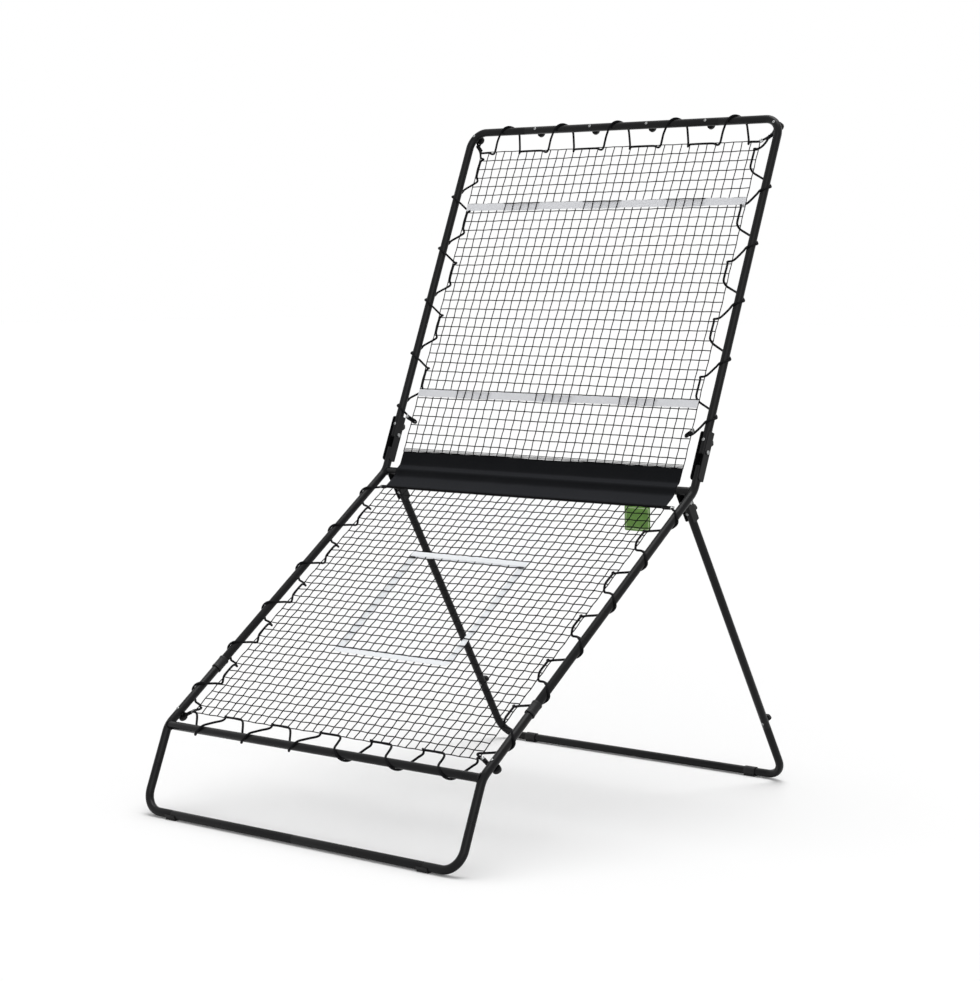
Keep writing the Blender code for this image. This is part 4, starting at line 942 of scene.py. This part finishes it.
lacing = {
    "radius": 0.0034,
    "sides": 10,
    "step": 0.0022,
    "easing": 4,               # times that the path's tight turns are rounded
    "hookSpread": 1.15,        # a hook's near side, in half spacings of two cords
    "uneven": 0.0012,          # how far one wrap differs from the next
    "pair": 0.0034,            # half the spacing of two cords side by side
    "sleeve": (0.0095, 0.0040),                     # length and radius of a crimped sleeve
    "knot": 0.0056,
    "neckLoop": 0.0100,
    "neckBack": (0.0095, 0.0030),                   # how far behind the panel the two sleeves at a bolt lie
    "runEnd": (0.0045, -0.005),                     # below the net's head, back
    "runSleeve": (0.0052, -0.0010, -0.003),         # on the top run's right end, from the net's corner
    "runStart": 3,             # rows of a wrap before its run beside the net
    "sideWraps": 5,
    "sidePitch": 0.1835,
    "sideHead": 0.0966,                             # below the top bar
    "topWraps": 6,
    "topPitch": 0.2242,
    "topStart": -0.611,
    "rampWraps": 7,
    "rampPitch": 0.183,
    "rampHead": 0.0032,                             # below the middle crossbar
    "footWraps": (3, 4),
    "footPitch": 0.1925,
    "footStart": -0.6110,
    # where the cord ends: its hook round the net and its sleeve, (out from the net's edge, along, back)
    "sideEnd": ((-0.0168, 0.1688, 0.0), (0.0112, 0.182, -0.012)),
    "rampEnd": ((-0.0045, 1.1020, -0.002), (0.0215, 1.1080, 0.003)),
    # the sleeve nearest each bolt and the one after it: (out from the net's edge, along)
    "topSleeves": {-1.0: ((0.0322, 1.1400), (0.0097, 1.1210)), 1.0: ((0.0310, 1.1380), (0.0205, 1.1215))},
    "footSleeves": {sign: ((0.0330, 0.0590), (0.0092, 0.0690)) for sign in (-1.0, 1.0)},
    # from a side's hook at the corner towards the bolt
    "topTail": {-1.0: ((-0.0030, 1.0925, 0.0), (0.0045, 1.1080, 0.001)),
                1.0: ((-0.0020, 1.0868, 0.0), (0.0120, 1.0955, 0.0), (0.0215, 1.1120, 0.002))},
    "footTail": {sign: ((-0.0040, 0.0725, 0.0),) for sign in (-1.0, 1.0)},
}

# Rows of a wrap. net: (along the tube from the hook, out from the net's edge, forward); ring: (along, degrees
# from the tube's outer side to its front, distance from its axis); home: as net, counted from the next hook.
laces = {
    "side": {
        "net": [(0.0, -0.0172, 0.0), (0.0042, -0.0125, 0.0035), (0.0105, -0.0103, 0.0050),
                (0.0640, -0.0103, 0.0050), (0.0745, -0.0063, -0.0092)],
        "ring": [(0.1010, -128.0, 0.0165), (0.1207, -45.0, 0.0160), (0.1280, 0.0, 0.0160),
                 (0.1359, 45.0, 0.0160), (0.1413, 90.0, 0.0165), (0.1493, 137.0, 0.0170)],
        "home": [(-0.0272, 0.0325, 0.0055), (-0.0162, 0.0172, 0.0), (-0.0052, 0.0007, -0.0040),
                 (-0.0010, -0.0090, -0.0010)],
    },
    "ramp": {
        "net": [(0.0, -0.0152, 0.0), (-0.0022, -0.0090, 0.0035), (0.0012, -0.0050, 0.0055),
                (0.0065, -0.0045, 0.0060), (0.0505, -0.0050, 0.0060), (0.0686, -0.0038, -0.0080),
                (0.0729, 0.0167, -0.0060), (0.0834, 0.0387, 0.0)],
        "ring": [(0.0919, 148.0, 0.0160), (0.1023, 90.0, 0.0160), (0.1106, 62.0, 0.0165),
                 (0.1192, 31.0, 0.0160), (0.1280, -45.0, 0.0160), (0.1404, -90.0, 0.0160),
                 (0.1500, -128.0, 0.0170)],
        "home": [(-0.0256, 0.0220, -0.0143), (-0.0098, -0.0013, -0.0052)],
    },
    "top": {
        "net": [(0.0, -0.0105, 0.0), (0.0028, -0.0060, 0.0040), (0.0085, -0.0045, 0.0050),
                (0.0980, -0.0045, 0.0050), (0.1080, -0.0083, 0.0025), (0.1150, -0.0085, 0.0015),
                (0.1200, -0.0020, 0.0030), (0.1230, 0.0120, 0.0062), (0.1265, 0.0320, 0.0110)],
        "ring": [(0.1330, 130.0, 0.0180), (0.1405, 90.0, 0.0160), (0.1600, 0.0, 0.0160),
                 (0.1760, -60.0, 0.0160), (0.1930, -130.0, 0.0168)],
        "home": [(-0.0050, 0.0060, -0.0030)],
    },
    "footLeft": {
        "net": [(0.0, -0.0045, 0.0), (0.0028, -0.0015, 0.0040), (0.0085, 0.0012, 0.0044),
                (0.0670, 0.0012, 0.0044), (0.0770, 0.0035, 0.0030), (0.0850, 0.0130, -0.0010)],
        "ring": [(0.1050, -128.0, 0.0165), (0.1180, -60.0, 0.0162), (0.1320, 0.0, 0.0162),
                 (0.1480, 50.0, 0.0162), (0.1545, 90.0, 0.0160), (0.1590, 132.0, 0.0180)],
        "home": [(-0.0080, 0.0310, 0.0100), (0.0085, 0.0200, 0.0075), (0.0118, 0.0120, 0.0060),
                 (0.0060, -0.0010, 0.0050)],
    },
    "footRight": {
        "net": [(0.0, -0.0045, 0.0), (0.0028, -0.0015, 0.0040), (0.0085, 0.0012, 0.0044),
                (0.0700, 0.0012, 0.0044), (0.0820, 0.0030, 0.0046), (0.0920, 0.0130, 0.0065),
                (0.0975, 0.0270, 0.0095)],
        "ring": [(0.1035, 135.0, 0.0200), (0.1120, 85.0, 0.0160), (0.1330, 0.0, 0.0162),
                 (0.1500, -60.0, 0.0162), (0.1640, -128.0, 0.0168)],
        "home": [(-0.0134, 0.0330, -0.0100), (-0.0014, 0.0200, -0.0060), (0.0088, 0.0095, -0.0030),
                 (0.0060, 0.0010, -0.0005)],
    },
}


def wraps(count, pitch, lace, reach):
    # ring: out = reach + r cos a, front = r sin a, with a and r run along its rows
    ring = np.array(lace["ring"])
    turn = np.linspace(0.0, 1.0, 16)
    rows = np.linspace(0.0, 1.0, len(ring))
    along, degrees, radius = (np.interp(turn, rows, ring[:, k]) for k in range(3))
    angle = np.radians(degrees)
    home = np.array(lace["home"]) + [pitch, 0.0, 0.0]
    one = np.concatenate([np.array(lace["net"]), np.stack([along, reach + radius * np.cos(angle),
                                                           radius * np.sin(angle)], 1), home])
    number = np.arange(count)[:, None]
    many = np.broadcast_to(one, (count, *one.shape)) + 0.0
    many[..., 0] += number * pitch
    middle = slice(len(lace["net"]), len(one) - len(home))
    many[:, middle, 0] += lacing["uneven"] * np.sin(number * 2.3 + 0.6)
    return many.reshape(-1, 3)


def sideLacing(panel, sign, head, laced):
    return at(panel, sign * (net["half"] + laced[:, 1]), head - laced[:, 0], -laced[:, 2])


def barLacing(panel, start, netEdge, outward, laced):
    return at(panel, start + laced[:, 0], netEdge + outward * laced[:, 1], -laced[:, 2])


def hairpin(panel, hook, sleeve, start):
    # two cords side by side from a sleeve to a hook round the net, as (across, along, back);
    # starts at the sleeve
    hook, sleeve = np.array(hook), np.array(sleeve)
    ahead = unit(hook - sleeve)
    square = unit(np.cross(ahead, [0.0, 0.0, 1.0])) * lacing["pair"] * start
    rows = np.array([sleeve + square, (sleeve + hook) / 2 + square,
                     hook + square * lacing["hookSpread"],
                     hook + ahead * lacing["pair"] * 1.2, hook - square, (sleeve + hook) / 2 - square,
                     sleeve - square])
    return at(panel, *rows.T)


def neckLoop(panel, bolt, near, turn):
    # from the sleeve nearest the bolt round its neck behind the tube and back to the sleeve
    inward = unit(near - bolt)
    side = np.array([-inward[1], inward[0]]) * turn
    reach = np.linalg.norm(near - bolt)
    angle = np.radians(np.linspace(75.0, 285.0, 9))[:, None]
    loop = bolt + (inward * np.cos(angle) + side * np.sin(angle)) * lacing["neckLoop"]
    legs = bolt + inward * np.array([reach, reach * 0.6])[:, None]
    spread = np.array([lacing["pair"], lacing["pair"] * 1.8])[:, None] * side
    flat = np.concatenate([legs + spread, loop, (legs - spread)[::-1]])
    neck = tube["radius"] + tube["gap"] + fittings["capNeck"][1] / 2
    depth = np.array([neck * 0.72, neck * 0.95])
    return at(panel, flat[:, 0], flat[:, 1], np.concatenate([depth, np.full(len(loop), neck), depth[::-1]]))


def cordShell(path, radius):
    # rings along the path, their spokes carried along it without twist
    ahead = unit(np.gradient(path, axis=0))
    spokes = np.empty_like(path)
    spoke = np.cross(ahead[0], [0.3, 0.5, 0.8])
    for index, direction in enumerate(ahead):
        spoke = unit(spoke - direction * np.dot(spoke, direction))
        spokes[index] = spoke
    angle = np.arange(lacing["sides"]) * 2 * np.pi / lacing["sides"]
    ring = (np.cos(angle)[None, :, None] * spokes[:, None]
            + np.sin(angle)[None, :, None] * np.cross(ahead, spokes)[:, None])
    ends = np.concatenate([[0], np.arange(len(path)), [len(path) - 1]])
    swell = np.full(len(ends), radius)
    swell[[0, -1]] = 0.0
    along = np.concatenate([[0.0], np.cumsum(np.linalg.norm(np.diff(path, axis=0), axis=1))])[ends]
    around = np.linspace(0.0, 2 * np.pi * radius, len(angle) + 1)
    return gridShell(path[ends][:, None] + swell[:, None, None] * ring[ends], alongUv=along, aroundUv=around)


def sleeveShell(panel, start, end, share, metal=True):
    # a crimped sleeve round two cords: an oval drawn along them, waisted at its middle
    start, end = at(panel, *start), at(panel, *end)
    axis, place = unit(end - start), start + (end - start) * share
    wide = unit(np.cross(axis, panel["back"]))
    length, radius = lacing["sleeve"]
    half = length / 2
    profile = np.array([(0.0, half), (radius, half), (radius * 0.84, 0.0), (radius, -half), (0.0, -half)])
    grid = turned(place, axis, softened(profile, 0.0009), 20)
    grid = grid + ((grid - place) @ wide)[..., None] * wide * lacing["pair"] / radius
    return gridShell(grid, second=metal)


def knotShell(panel, start, end, share):
    # a round overhand knot: radius r (1 + 0.14 sin(3a + 900 r)) at each height of a ball
    start, end = at(panel, *start), at(panel, *end)
    turn = np.linspace(np.pi / 2, -np.pi / 2, 11)
    ball = np.stack([np.cos(turn), np.sin(turn)], 1) * lacing["knot"]
    grid = turned(start + (end - start) * share, unit(end - start), ball, 18,
                  lambda angle, radius: 1 + 0.14 * np.sin(3 * angle + radius * 900))
    return gridShell(grid)


def eased(path, times):
    # rounds tight turns: each point moves to the mean of itself and its neighbours
    for _ in range(times):
        path = np.concatenate([path[:1], (path[:-2] + 2 * path[1:-1] + path[2:]) / 4, path[-1:]])
    return path


def cornerCord(panel, bolt, sleeves, turn, tail):
    # from a side's last hook by its tail to the two sleeves, round the bolt's neck and back to the far sleeve
    near, far = (np.append(sleeve, back) for sleeve, back in zip(sleeves, lacing["neckBack"]))
    inward = unit(far - near)
    side = np.array([-inward[1], inward[0], 0.0]) * turn * lacing["pair"]
    path = np.concatenate([at(panel, *np.array(tail).T), at(panel, *(far + side))[None],
                           neckLoop(panel, np.array(bolt), near[:2], turn), at(panel, *(far - side))[None]])
    return path, [sleeveShell(panel, near, far, 0.0, False),
                  sleeveShell(panel, near, far, 1.0, panel is ramp), knotShell(panel, near, far, 0.5)]


def branch(panel, sign, turn, laced, end, bolt, sleeves, tail):
    # one side of a net, from the cord's end to the loop at the corner bolt, with its sleeves
    def across(rows):
        return [(sign * (net["half"] + out), along, back) for out, along, back in rows]
    hook, sleeve = across(end)
    pin = hairpin(panel, hook, sleeve, sign)
    sleeves = [(sign * (net["half"] + out), along) for out, along in sleeves]
    path, shells = cornerCord(panel, (sign * bolt[0], bolt[1]), sleeves, turn, across(tail))
    return np.concatenate([pin, laced, path]), shells + [sleeveShell(panel, sleeve, hook, 0.0)]


def makeCord(node, parts, shells):
    path = eased(smoothPath(np.concatenate(parts), lacing["step"]), lacing["easing"])
    makePiece(node, [cordShell(path, lacing["radius"])] + shells, "braidedElastic", "zincPlate",
              sharpAngle=60.0)


def makeLacing():
    bend = tube["topBend"] * (1 - math.sqrt(0.5))
    margin, half, netTop = railX - net["half"], net["half"], net["upper"][1]
    laced = wraps(lacing["sideWraps"], lacing["sidePitch"], laces["side"], margin)[::-1]
    (left, leftShells), (right, rightShells) = (
        branch(upper, sign, sign, sideLacing(upper, sign, upperLength - lacing["sideHead"], laced),
               lacing["sideEnd"], (railX - bend, upperLength - bend), lacing["topSleeves"][sign],
               lacing["topTail"][sign])
        for sign in (-1.0, 1.0))
    laced = wraps(lacing["topWraps"], lacing["topPitch"], laces["top"], upperLength - netTop)
    laced = laced[lacing["runStart"]:lacing["runStart"] - len(laced) // lacing["topWraps"]]
    below, back = lacing["runEnd"]
    runEnds = at(upper, np.array([-half, half]), netTop - below, back)
    out, up, sleeveBack = lacing["runSleeve"]
    runSleeve = sleeveShell(upper, (half, netTop - below, back), (half + out, netTop + up, sleeveBack), 1.0)
    makeCord("upper_lacing", [left, runEnds[:1], barLacing(upper, lacing["topStart"], netTop, 1.0, laced),
                              runEnds[1:], right[::-1]], leftShells + rightShells + [runSleeve])

    laced = wraps(lacing["rampWraps"], lacing["rampPitch"], laces["ramp"], margin)
    laced = laced[len(laces["ramp"]["net"]):1 - len(laced) // lacing["rampWraps"]]
    (left, leftShells), (right, rightShells) = (
        branch(ramp, sign, -sign, sideLacing(ramp, sign, rampLength - lacing["rampHead"], laced),
               lacing["rampEnd"], (railX, places["lowerCornerBolt"]), lacing["footSleeves"][sign],
               lacing["footTail"][sign])
        for sign in (-1.0, 1.0))
    parts = [left]
    start = lacing["footStart"]
    for number, (count, lace) in enumerate(zip(lacing["footWraps"], (laces["footLeft"], laces["footRight"]))):
        laced = wraps(count, lacing["footPitch"], lace, net["lower"][0])
        # the first run starts at the net's corner and the last one ends at its first hook
        laced = laced[:1 - len(laced) // count] if number else laced[lacing["runStart"]:]
        parts.append(barLacing(ramp, start, net["lower"][0], -1.0, laced))
        start += count * lacing["footPitch"]
    makeCord("lower_lacing", parts + [right[::-1]], leftShells + rightShells)
    print("lacing made")


# Tag

tag = {
    "width": 0.093,
    "height": 0.074,
    "thickness": 0.0008,
    "corner": 0.004,
    "drop": 0.003,             # of its middle, below the middle of its place
    "curl": (0.0022, 0.0012),  # across its width, and a lean down its length
    "line": (0.006, 0.0007),   # the pale line's distance from the edge and half its width
}


def makeTag():
    low, high = (np.array(corner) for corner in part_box("hang_tag"))
    place = (low + high) / 2 - np.array([0.0, 0.0, tag["drop"]])
    u = np.linspace(-0.5, 0.5, 41)[None, :] * tag["width"]
    v = np.linspace(0.5, -0.5, 31)[:, None] * tag["height"]
    # a card with a slight curl: back = curl (2u / width)^2, less a straight lean down its length
    bow, lean = tag["curl"]
    curl = bow * (2 * u / tag["width"]) ** 2 - lean * (2 * v / tag["height"])
    tuck = np.clip(np.abs(v) - (tag["height"] / 2 - tag["corner"]), 0, None)
    narrow = 1 - (tag["corner"] - np.sqrt(np.maximum(tag["corner"] ** 2 - tuck ** 2, 0))) / (tag["width"] / 2)
    middle = place + np.stack([u * narrow, curl + 0 * v, v + 0 * u], -1)
    grid = thick(middle, np.array([0.0, -1.0, 0.0]), tag["thickness"])
    alongUv = np.concatenate([v[:1, 0], v[:, 0], v[-1:, 0]])
    aroundUv = np.concatenate([u[0], u[0][::-1], u[0][:1]])
    makePiece("hang_tag", [gridShell(grid, alongUv=alongUv, aroundUv=aroundUv)], "printedCard",
              sharpAngle=60.0)
    print("tag made")


# Finishes

def linear(colour):
    # sRGB hex to linear
    value = np.array([int(colour[i:i + 2], 16) for i in (1, 3, 5)]) / 255
    return (*np.where(value <= 0.04045, value / 12.92, ((value + 0.055) / 1.055) ** 2.4), 1.0)


def addNode(tree, kind, inputs=None, **settings):
    node = tree.nodes.new("ShaderNode" + kind)
    for name, value in settings.items():
        setattr(node, name, value)
    for key, value in (inputs or {}).items():
        if isinstance(value, bpy.types.NodeSocket):
            tree.links.new(value, node.inputs[key])
        else:
            node.inputs[key].default_value = value
    return node


finishes = {}


def newFinish(name, slotName, roughness, metallic=0.0, **sockets):
    made = bpy.data.materials.new(name)
    made.use_nodes = True
    shader = made.node_tree.nodes["Principled BSDF"]
    shader.inputs["Roughness"].default_value = roughness
    shader.inputs["Metallic"].default_value = metallic
    for socket, value in sockets.items():
        shader.inputs[socket.replace("_", " ")].default_value = value
    finishes[name] = {"material": made, "slot": slotName}
    return made.node_tree, shader


def joinUp(tree, shader, **sources):
    # each named socket of the shader takes its source
    for socket, source in sources.items():
        tree.links.new(source, shader.inputs[socket.replace("_", " ")])


def finishPowderCoat():
    # steel tube, polyester powder coat, satin: fine orange peel about 2 mm across, duller where handled
    tree, shader = newFinish("powderCoat", "black_powder_coat", 0.30, Specular_IOR_Level=0.13)
    place = addNode(tree, "TexCoord").outputs["Object"]
    slow = addNode(tree, "TexNoise", {"Vector": place, "Scale": 14.0, "Detail": 3.0}).outputs["Fac"]
    peel = addNode(tree, "TexNoise", {"Vector": place, "Scale": 520.0, "Detail": 1.0}).outputs["Fac"]
    colour = addNode(tree, "MixRGB", {"Fac": slow, "Color1": linear("#0f0f10"), "Color2": linear("#171718")})
    dull = addNode(tree, "MapRange", {"Value": slow, "From Min": 0.3, "From Max": 0.7, "To Min": 0.25,
                                      "To Max": 0.34})
    bump = addNode(tree, "Bump", {"Height": peel, "Strength": 0.25, "Distance": 0.0002})
    joinUp(tree, shader, Base_Color=colour.outputs["Color"], Roughness=dull.outputs["Result"],
           Normal=bump.outputs["Normal"])


def finishMouldedPlastic():
    # moulded polyamide: spark-eroded grain under 1 mm, slightly greyer on its high spots
    tree, shader = newFinish("mouldedPlastic", "black_plastic", 0.48, Specular_IOR_Level=0.25)
    place = addNode(tree, "TexCoord").outputs["Object"]
    grain = addNode(tree, "TexNoise", {"Vector": place, "Scale": 1300.0, "Detail": 2.0}).outputs["Fac"]
    slow = addNode(tree, "TexNoise", {"Vector": place, "Scale": 60.0, "Detail": 2.0}).outputs["Fac"]
    colour = addNode(tree, "MixRGB", {"Fac": slow, "Color1": linear("#0b0b0c"), "Color2": linear("#151516")})
    bump = addNode(tree, "Bump", {"Height": grain, "Strength": 0.35, "Distance": 0.0002})
    joinUp(tree, shader, Base_Color=colour.outputs["Color"], Normal=bump.outputs["Normal"])


def finishZincPlate():
    # zinc-plated steel: bright, with faint cloudy patches where the plating is passivated
    tree, shader = newFinish("zincPlate", "zinc_plate", 0.3, metallic=1.0)
    place = addNode(tree, "TexCoord").outputs["Object"]
    cloud = addNode(tree, "TexNoise", {"Vector": place, "Scale": 260.0, "Detail": 3.0}).outputs["Fac"]
    colour = addNode(tree, "MixRGB", {"Fac": cloud, "Color1": linear("#77797c"), "Color2": linear("#aaaba9")})
    dull = addNode(tree, "MapRange", {"Value": cloud, "From Min": 0.3, "From Max": 0.7, "To Min": 0.22,
                                      "To Max": 0.4})
    joinUp(tree, shader, Base_Color=colour.outputs["Color"], Roughness=dull.outputs["Result"])


def weaveHeight(tree, spacing, turn=0.0):
    # threads crossing: sin(2 pi x / spacing) sin(2 pi y / spacing) on the piece's own map, turned for a braid
    mapped = addNode(tree, "TexCoord").outputs["UV"]
    turnedMap = addNode(tree, "Mapping", {"Vector": mapped, "Rotation": (0.0, 0.0, turn)}).outputs["Vector"]
    split = addNode(tree, "SeparateXYZ", {"Vector": turnedMap})
    waves = []
    for axis in ("X", "Y"):
        scaled = addNode(tree, "Math", {0: split.outputs[axis], 1: 2 * math.pi / spacing},
                         operation="MULTIPLY")
        waves.append(addNode(tree, "Math", {0: scaled.outputs[0]}, operation="SINE").outputs[0])
    return addNode(tree, "Math", {0: waves[0], 1: waves[1]}, operation="MULTIPLY").outputs[0]


def finishBraidedElastic():
    # rubber cord in a braided polyester sleeve: 5 mm thick with strands about 1.3 mm,
    # drawn at 6.8 mm with strands of 1.8 mm so that they show
    tree, shader = newFinish("braidedElastic", "black_elastic", 0.62, Specular_IOR_Level=0.05)
    height = weaveHeight(tree, 0.0018, math.pi / 4)
    # the colour follows the braid's height: painted shade in the hollows between strands, painted highlight
    # on their crests
    weaveShading = addNode(tree, "MapRange", {"Value": height, "From Min": -1.0, "From Max": 1.0, "To Min": 0.0,
                                      "To Max": 1.0})
    colour = addNode(tree, "MixRGB", {"Fac": weaveShading.outputs["Result"], "Color1": linear("#080809"),
                                      "Color2": linear("#1d1d1f")})
    bump = addNode(tree, "Bump", {"Height": height, "Strength": 0.5, "Distance": 0.0003})
    joinUp(tree, shader, Base_Color=colour.outputs["Color"], Normal=bump.outputs["Normal"])


def finishNetTwine():
    # knotless polyester strand, drawn at 3.2 mm so that it shows: fine ridges and small patches of dust
    tree, shader = newFinish("netTwine", "black_net", 0.6, Specular_IOR_Level=0.03)
    place = addNode(tree, "TexCoord").outputs["Object"]
    ridge = addNode(tree, "TexNoise", {"Vector": place, "Scale": 1500.0, "Detail": 1.0}).outputs["Fac"]
    slow = addNode(tree, "TexNoise", {"Vector": place, "Scale": 30.0, "Detail": 2.0}).outputs["Fac"]
    colour = addNode(tree, "MixRGB", {"Fac": slow, "Color1": linear("#0a0a0b"), "Color2": linear("#151516")})
    bump = addNode(tree, "Bump", {"Height": ridge, "Strength": 0.4, "Distance": 0.0003})
    joinUp(tree, shader, Base_Color=colour.outputs["Color"], Normal=bump.outputs["Normal"])


def finishCoatedCloth():
    # coated polyester, plain weave about 0.8 mm, drawn at 1.6 mm so that it shows
    tree, shader = newFinish("coatedCloth", "black_cloth", 0.6, Specular_IOR_Level=0.03, Sheen_Weight=0.07,
                             Sheen_Roughness=0.3)
    height = weaveHeight(tree, 0.0016)
    place = addNode(tree, "TexCoord").outputs["Object"]
    slow = addNode(tree, "TexNoise", {"Vector": place, "Scale": 9.0, "Detail": 4.0}).outputs["Fac"]
    black = addNode(tree, "MixRGB", {"Fac": slow, "Color1": linear("#0d0e10"), "Color2": linear("#151618")})
    # painted light: the ridge over the crossbar and the sloping half are painted paler, and the crease under
    # the ridge darker, as light from above falls on them
    down = addNode(tree, "SeparateXYZ", {"Vector": addNode(tree, "TexCoord").outputs["UV"]}).outputs["X"]
    share = addNode(tree, "Math", {0: down, 1: cloth["paintedLightReach"]}, operation="DIVIDE").outputs[0]
    dust = addNode(tree, "ValToRGB", {"Fac": share})
    stops = dust.color_ramp.elements
    for distance, amount in cloth["dust"]:
        stop = stops.new(distance / cloth["paintedLightReach"])
        stop.color = (amount, amount, amount, 1.0)
    stops[0].color, stops[-1].color = (0.0, 0.0, 0.0, 1.0), (1.0, 1.0, 1.0, 1.0)
    # the paler colour of the painted light on the ridge and the sloping half
    colour = addNode(tree, "MixRGB", {"Fac": dust.outputs["Color"], "Color1": black.outputs["Color"],
                                      "Color2": linear("#242528")})
    bump = addNode(tree, "Bump", {"Height": height, "Strength": 0.35, "Distance": 0.0002})
    joinUp(tree, shader, Base_Color=colour.outputs["Color"], Normal=bump.outputs["Normal"])


def finishWovenTape(name, hollowShade, crestLight):
    # woven polyester tape: ribs about 1 mm, drawn at 1.6 mm so that they show
    tree, shader = newFinish(name, "white_ribbon", 0.7, Sheen_Weight=0.1)
    height = weaveHeight(tree, 0.0016)
    # the colour follows the weave's height: painted shade in its hollows, painted highlight on its ribs
    weaveShading = addNode(tree, "MapRange", {"Value": height, "From Min": -1.0, "From Max": 1.0, "To Min": 0.0,
                                      "To Max": 1.0})
    colour = addNode(tree, "MixRGB", {"Fac": weaveShading.outputs["Result"], "Color1": linear(hollowShade),
                                      "Color2": linear(crestLight)})
    bump = addNode(tree, "Bump", {"Height": height, "Strength": 0.3, "Distance": 0.0002})
    joinUp(tree, shader, Base_Color=colour.outputs["Color"], Normal=bump.outputs["Normal"])


def finishPrintedCard():
    # coated card, offset print: flat green with a paler line inside its edge
    tree, shader = newFinish("printedCard", "green_card", 0.45, Coat_Weight=0.15, Coat_Roughness=0.3)
    mapped = addNode(tree, "TexCoord").outputs["UV"]
    split = addNode(tree, "SeparateXYZ", {"Vector": mapped})
    across = addNode(tree, "Math", {0: split.outputs["Y"]}, operation="ABSOLUTE").outputs[0]
    down = addNode(tree, "Math", {0: split.outputs["X"]}, operation="ABSOLUTE").outputs[0]
    fromSide = addNode(tree, "Math", {0: tag["width"] / 2, 1: across}, operation="SUBTRACT").outputs[0]
    fromEnd = addNode(tree, "Math", {0: tag["height"] / 2, 1: down}, operation="SUBTRACT").outputs[0]
    inside = addNode(tree, "Math", {0: fromSide, 1: fromEnd}, operation="MINIMUM").outputs[0]
    away, thin = tag["line"]
    line = addNode(tree, "Math", {0: inside, 1: away, 2: thin}, operation="COMPARE").outputs[0]
    place = addNode(tree, "TexCoord").outputs["Object"]
    slow = addNode(tree, "TexNoise", {"Vector": place, "Scale": 60.0, "Detail": 3.0}).outputs["Fac"]
    green = addNode(tree, "MixRGB", {"Fac": slow, "Color1": linear("#507b29"), "Color2": linear("#6e9c45")})
    colour = addNode(tree, "MixRGB", {"Fac": line, "Color1": green.outputs["Color"],
                                      "Color2": linear("#c9d8b4")})
    joinUp(tree, shader, Base_Color=colour.outputs["Color"])


# Studio

studio = {
    "cameraPlace": (4.7154, -5.5756, 1.5730),
    "cameraTurn": (math.pi / 2 - 0.087383, 0.0, 0.697696),
    "lens": 89.82,
    "floorHalf": 60.0,
    "floorColour": "#f2f2f2",
    "floorGlow": 0.035,
    "worldLight": 0.42,
    # each sun: where it stands, how wide it looks in degrees, its share of white
    "suns": {"topSun": ((-0.05, 0.2, 1.0), 45.0, 0.61), "frontSun": ((0.62, -0.78, 0.24), 60.0, 0.34)},
}


def makeCamera():
    camera = bpy.data.cameras.new("camera")
    camera.lens, camera.sensor_width = studio["lens"], 36.0
    holder = bpy.data.objects.new("camera", camera)
    holder.location, holder.rotation_euler = studio["cameraPlace"], studio["cameraTurn"]
    bpy.context.scene.collection.objects.link(holder)
    bpy.context.scene.camera = holder


def seenDirectly(tree):
    # 1 for camera, mirror and glass rays, 0 for the light that falls on things
    path = addNode(tree, "LightPath")
    both = addNode(tree, "Math", {0: path.outputs["Is Camera Ray"], 1: path.outputs["Is Glossy Ray"]},
                   operation="MAXIMUM").outputs[0]
    return addNode(tree, "Math", {0: both, 1: path.outputs["Is Transmission Ray"]},
                   operation="MAXIMUM").outputs[0]


def makeStudio():
    world = bpy.data.worlds.new("studio")
    bpy.context.scene.world = world
    world.use_nodes = True
    tree = world.node_tree
    tree.nodes.clear()
    lit = addNode(tree, "Background", {"Color": (1, 1, 1, 1), "Strength": studio["worldLight"]})
    seen = addNode(tree, "Background", {"Color": (1, 1, 1, 1), "Strength": 1.0})
    mixed = addNode(tree, "MixShader", {0: seenDirectly(tree), 1: lit.outputs[0], 2: seen.outputs[0]})
    addNode(tree, "OutputWorld", {"Surface": mixed.outputs[0]})

    half = studio["floorHalf"]
    corners = np.stack(np.meshgrid([-half, half], [-half, half], [0.0], indexing="ij"), -1).reshape(-1, 3)
    mesh = bpy.data.meshes.new("floor")
    mesh.from_pydata(corners.tolist(), [], [(0, 2, 3, 1)])
    floor = bpy.data.objects.new("floor", mesh)
    bpy.context.scene.collection.objects.link(floor)
    surface = bpy.data.materials.new("matteFloor")
    surface.use_nodes = True
    tree = surface.node_tree
    tree.nodes.clear()
    matte = addNode(tree, "BsdfDiffuse", {"Color": linear(studio["floorColour"])})
    glow = addNode(tree, "Math", {0: seenDirectly(tree), 1: studio["floorGlow"]}, operation="MULTIPLY")
    shine = addNode(tree, "Emission", {"Color": (1, 1, 1, 1), "Strength": glow.outputs[0]})
    both = addNode(tree, "AddShader", {0: matte.outputs[0], 1: shine.outputs[0]})
    addNode(tree, "OutputMaterial", {"Surface": both.outputs[0]})
    mesh.materials.append(surface)

    for name, (place, width, share) in studio["suns"].items():
        lamp = bpy.data.lights.new(name, "SUN")
        lamp.angle, lamp.energy = math.radians(width), share * math.pi
        holder = bpy.data.objects.new(name, lamp)
        holder.rotation_euler = (math.atan2(math.hypot(place[0], place[1]), place[2]), 0.0,
                                 math.atan2(place[0], -place[1]))
        bpy.context.scene.collection.objects.link(holder)
    bpy.context.scene.view_settings.view_transform = "Standard"
    print("studio made")


makeCamera()
finishPowderCoat()
finishMouldedPlastic()
finishZincPlate()
finishBraidedElastic()
finishNetTwine()
finishCoatedCloth()
# one white tape in two copies: darker on the steep upper panel as painted shade, paler on the sloping ramp as
# painted light
finishWovenTape("shadedTape", "#cbccd0", "#e0e1e4")
finishWovenTape("litTape", "#dde0e4", "#f2f4f6")
finishPrintedCard()
makeTubes()
makeCollars()
makeSaddles()
makeFasteners()
makeFeet()
makeNets()
makeRibbons()
makeCloth()
makeLacing()
makeTag()
makeStudio()
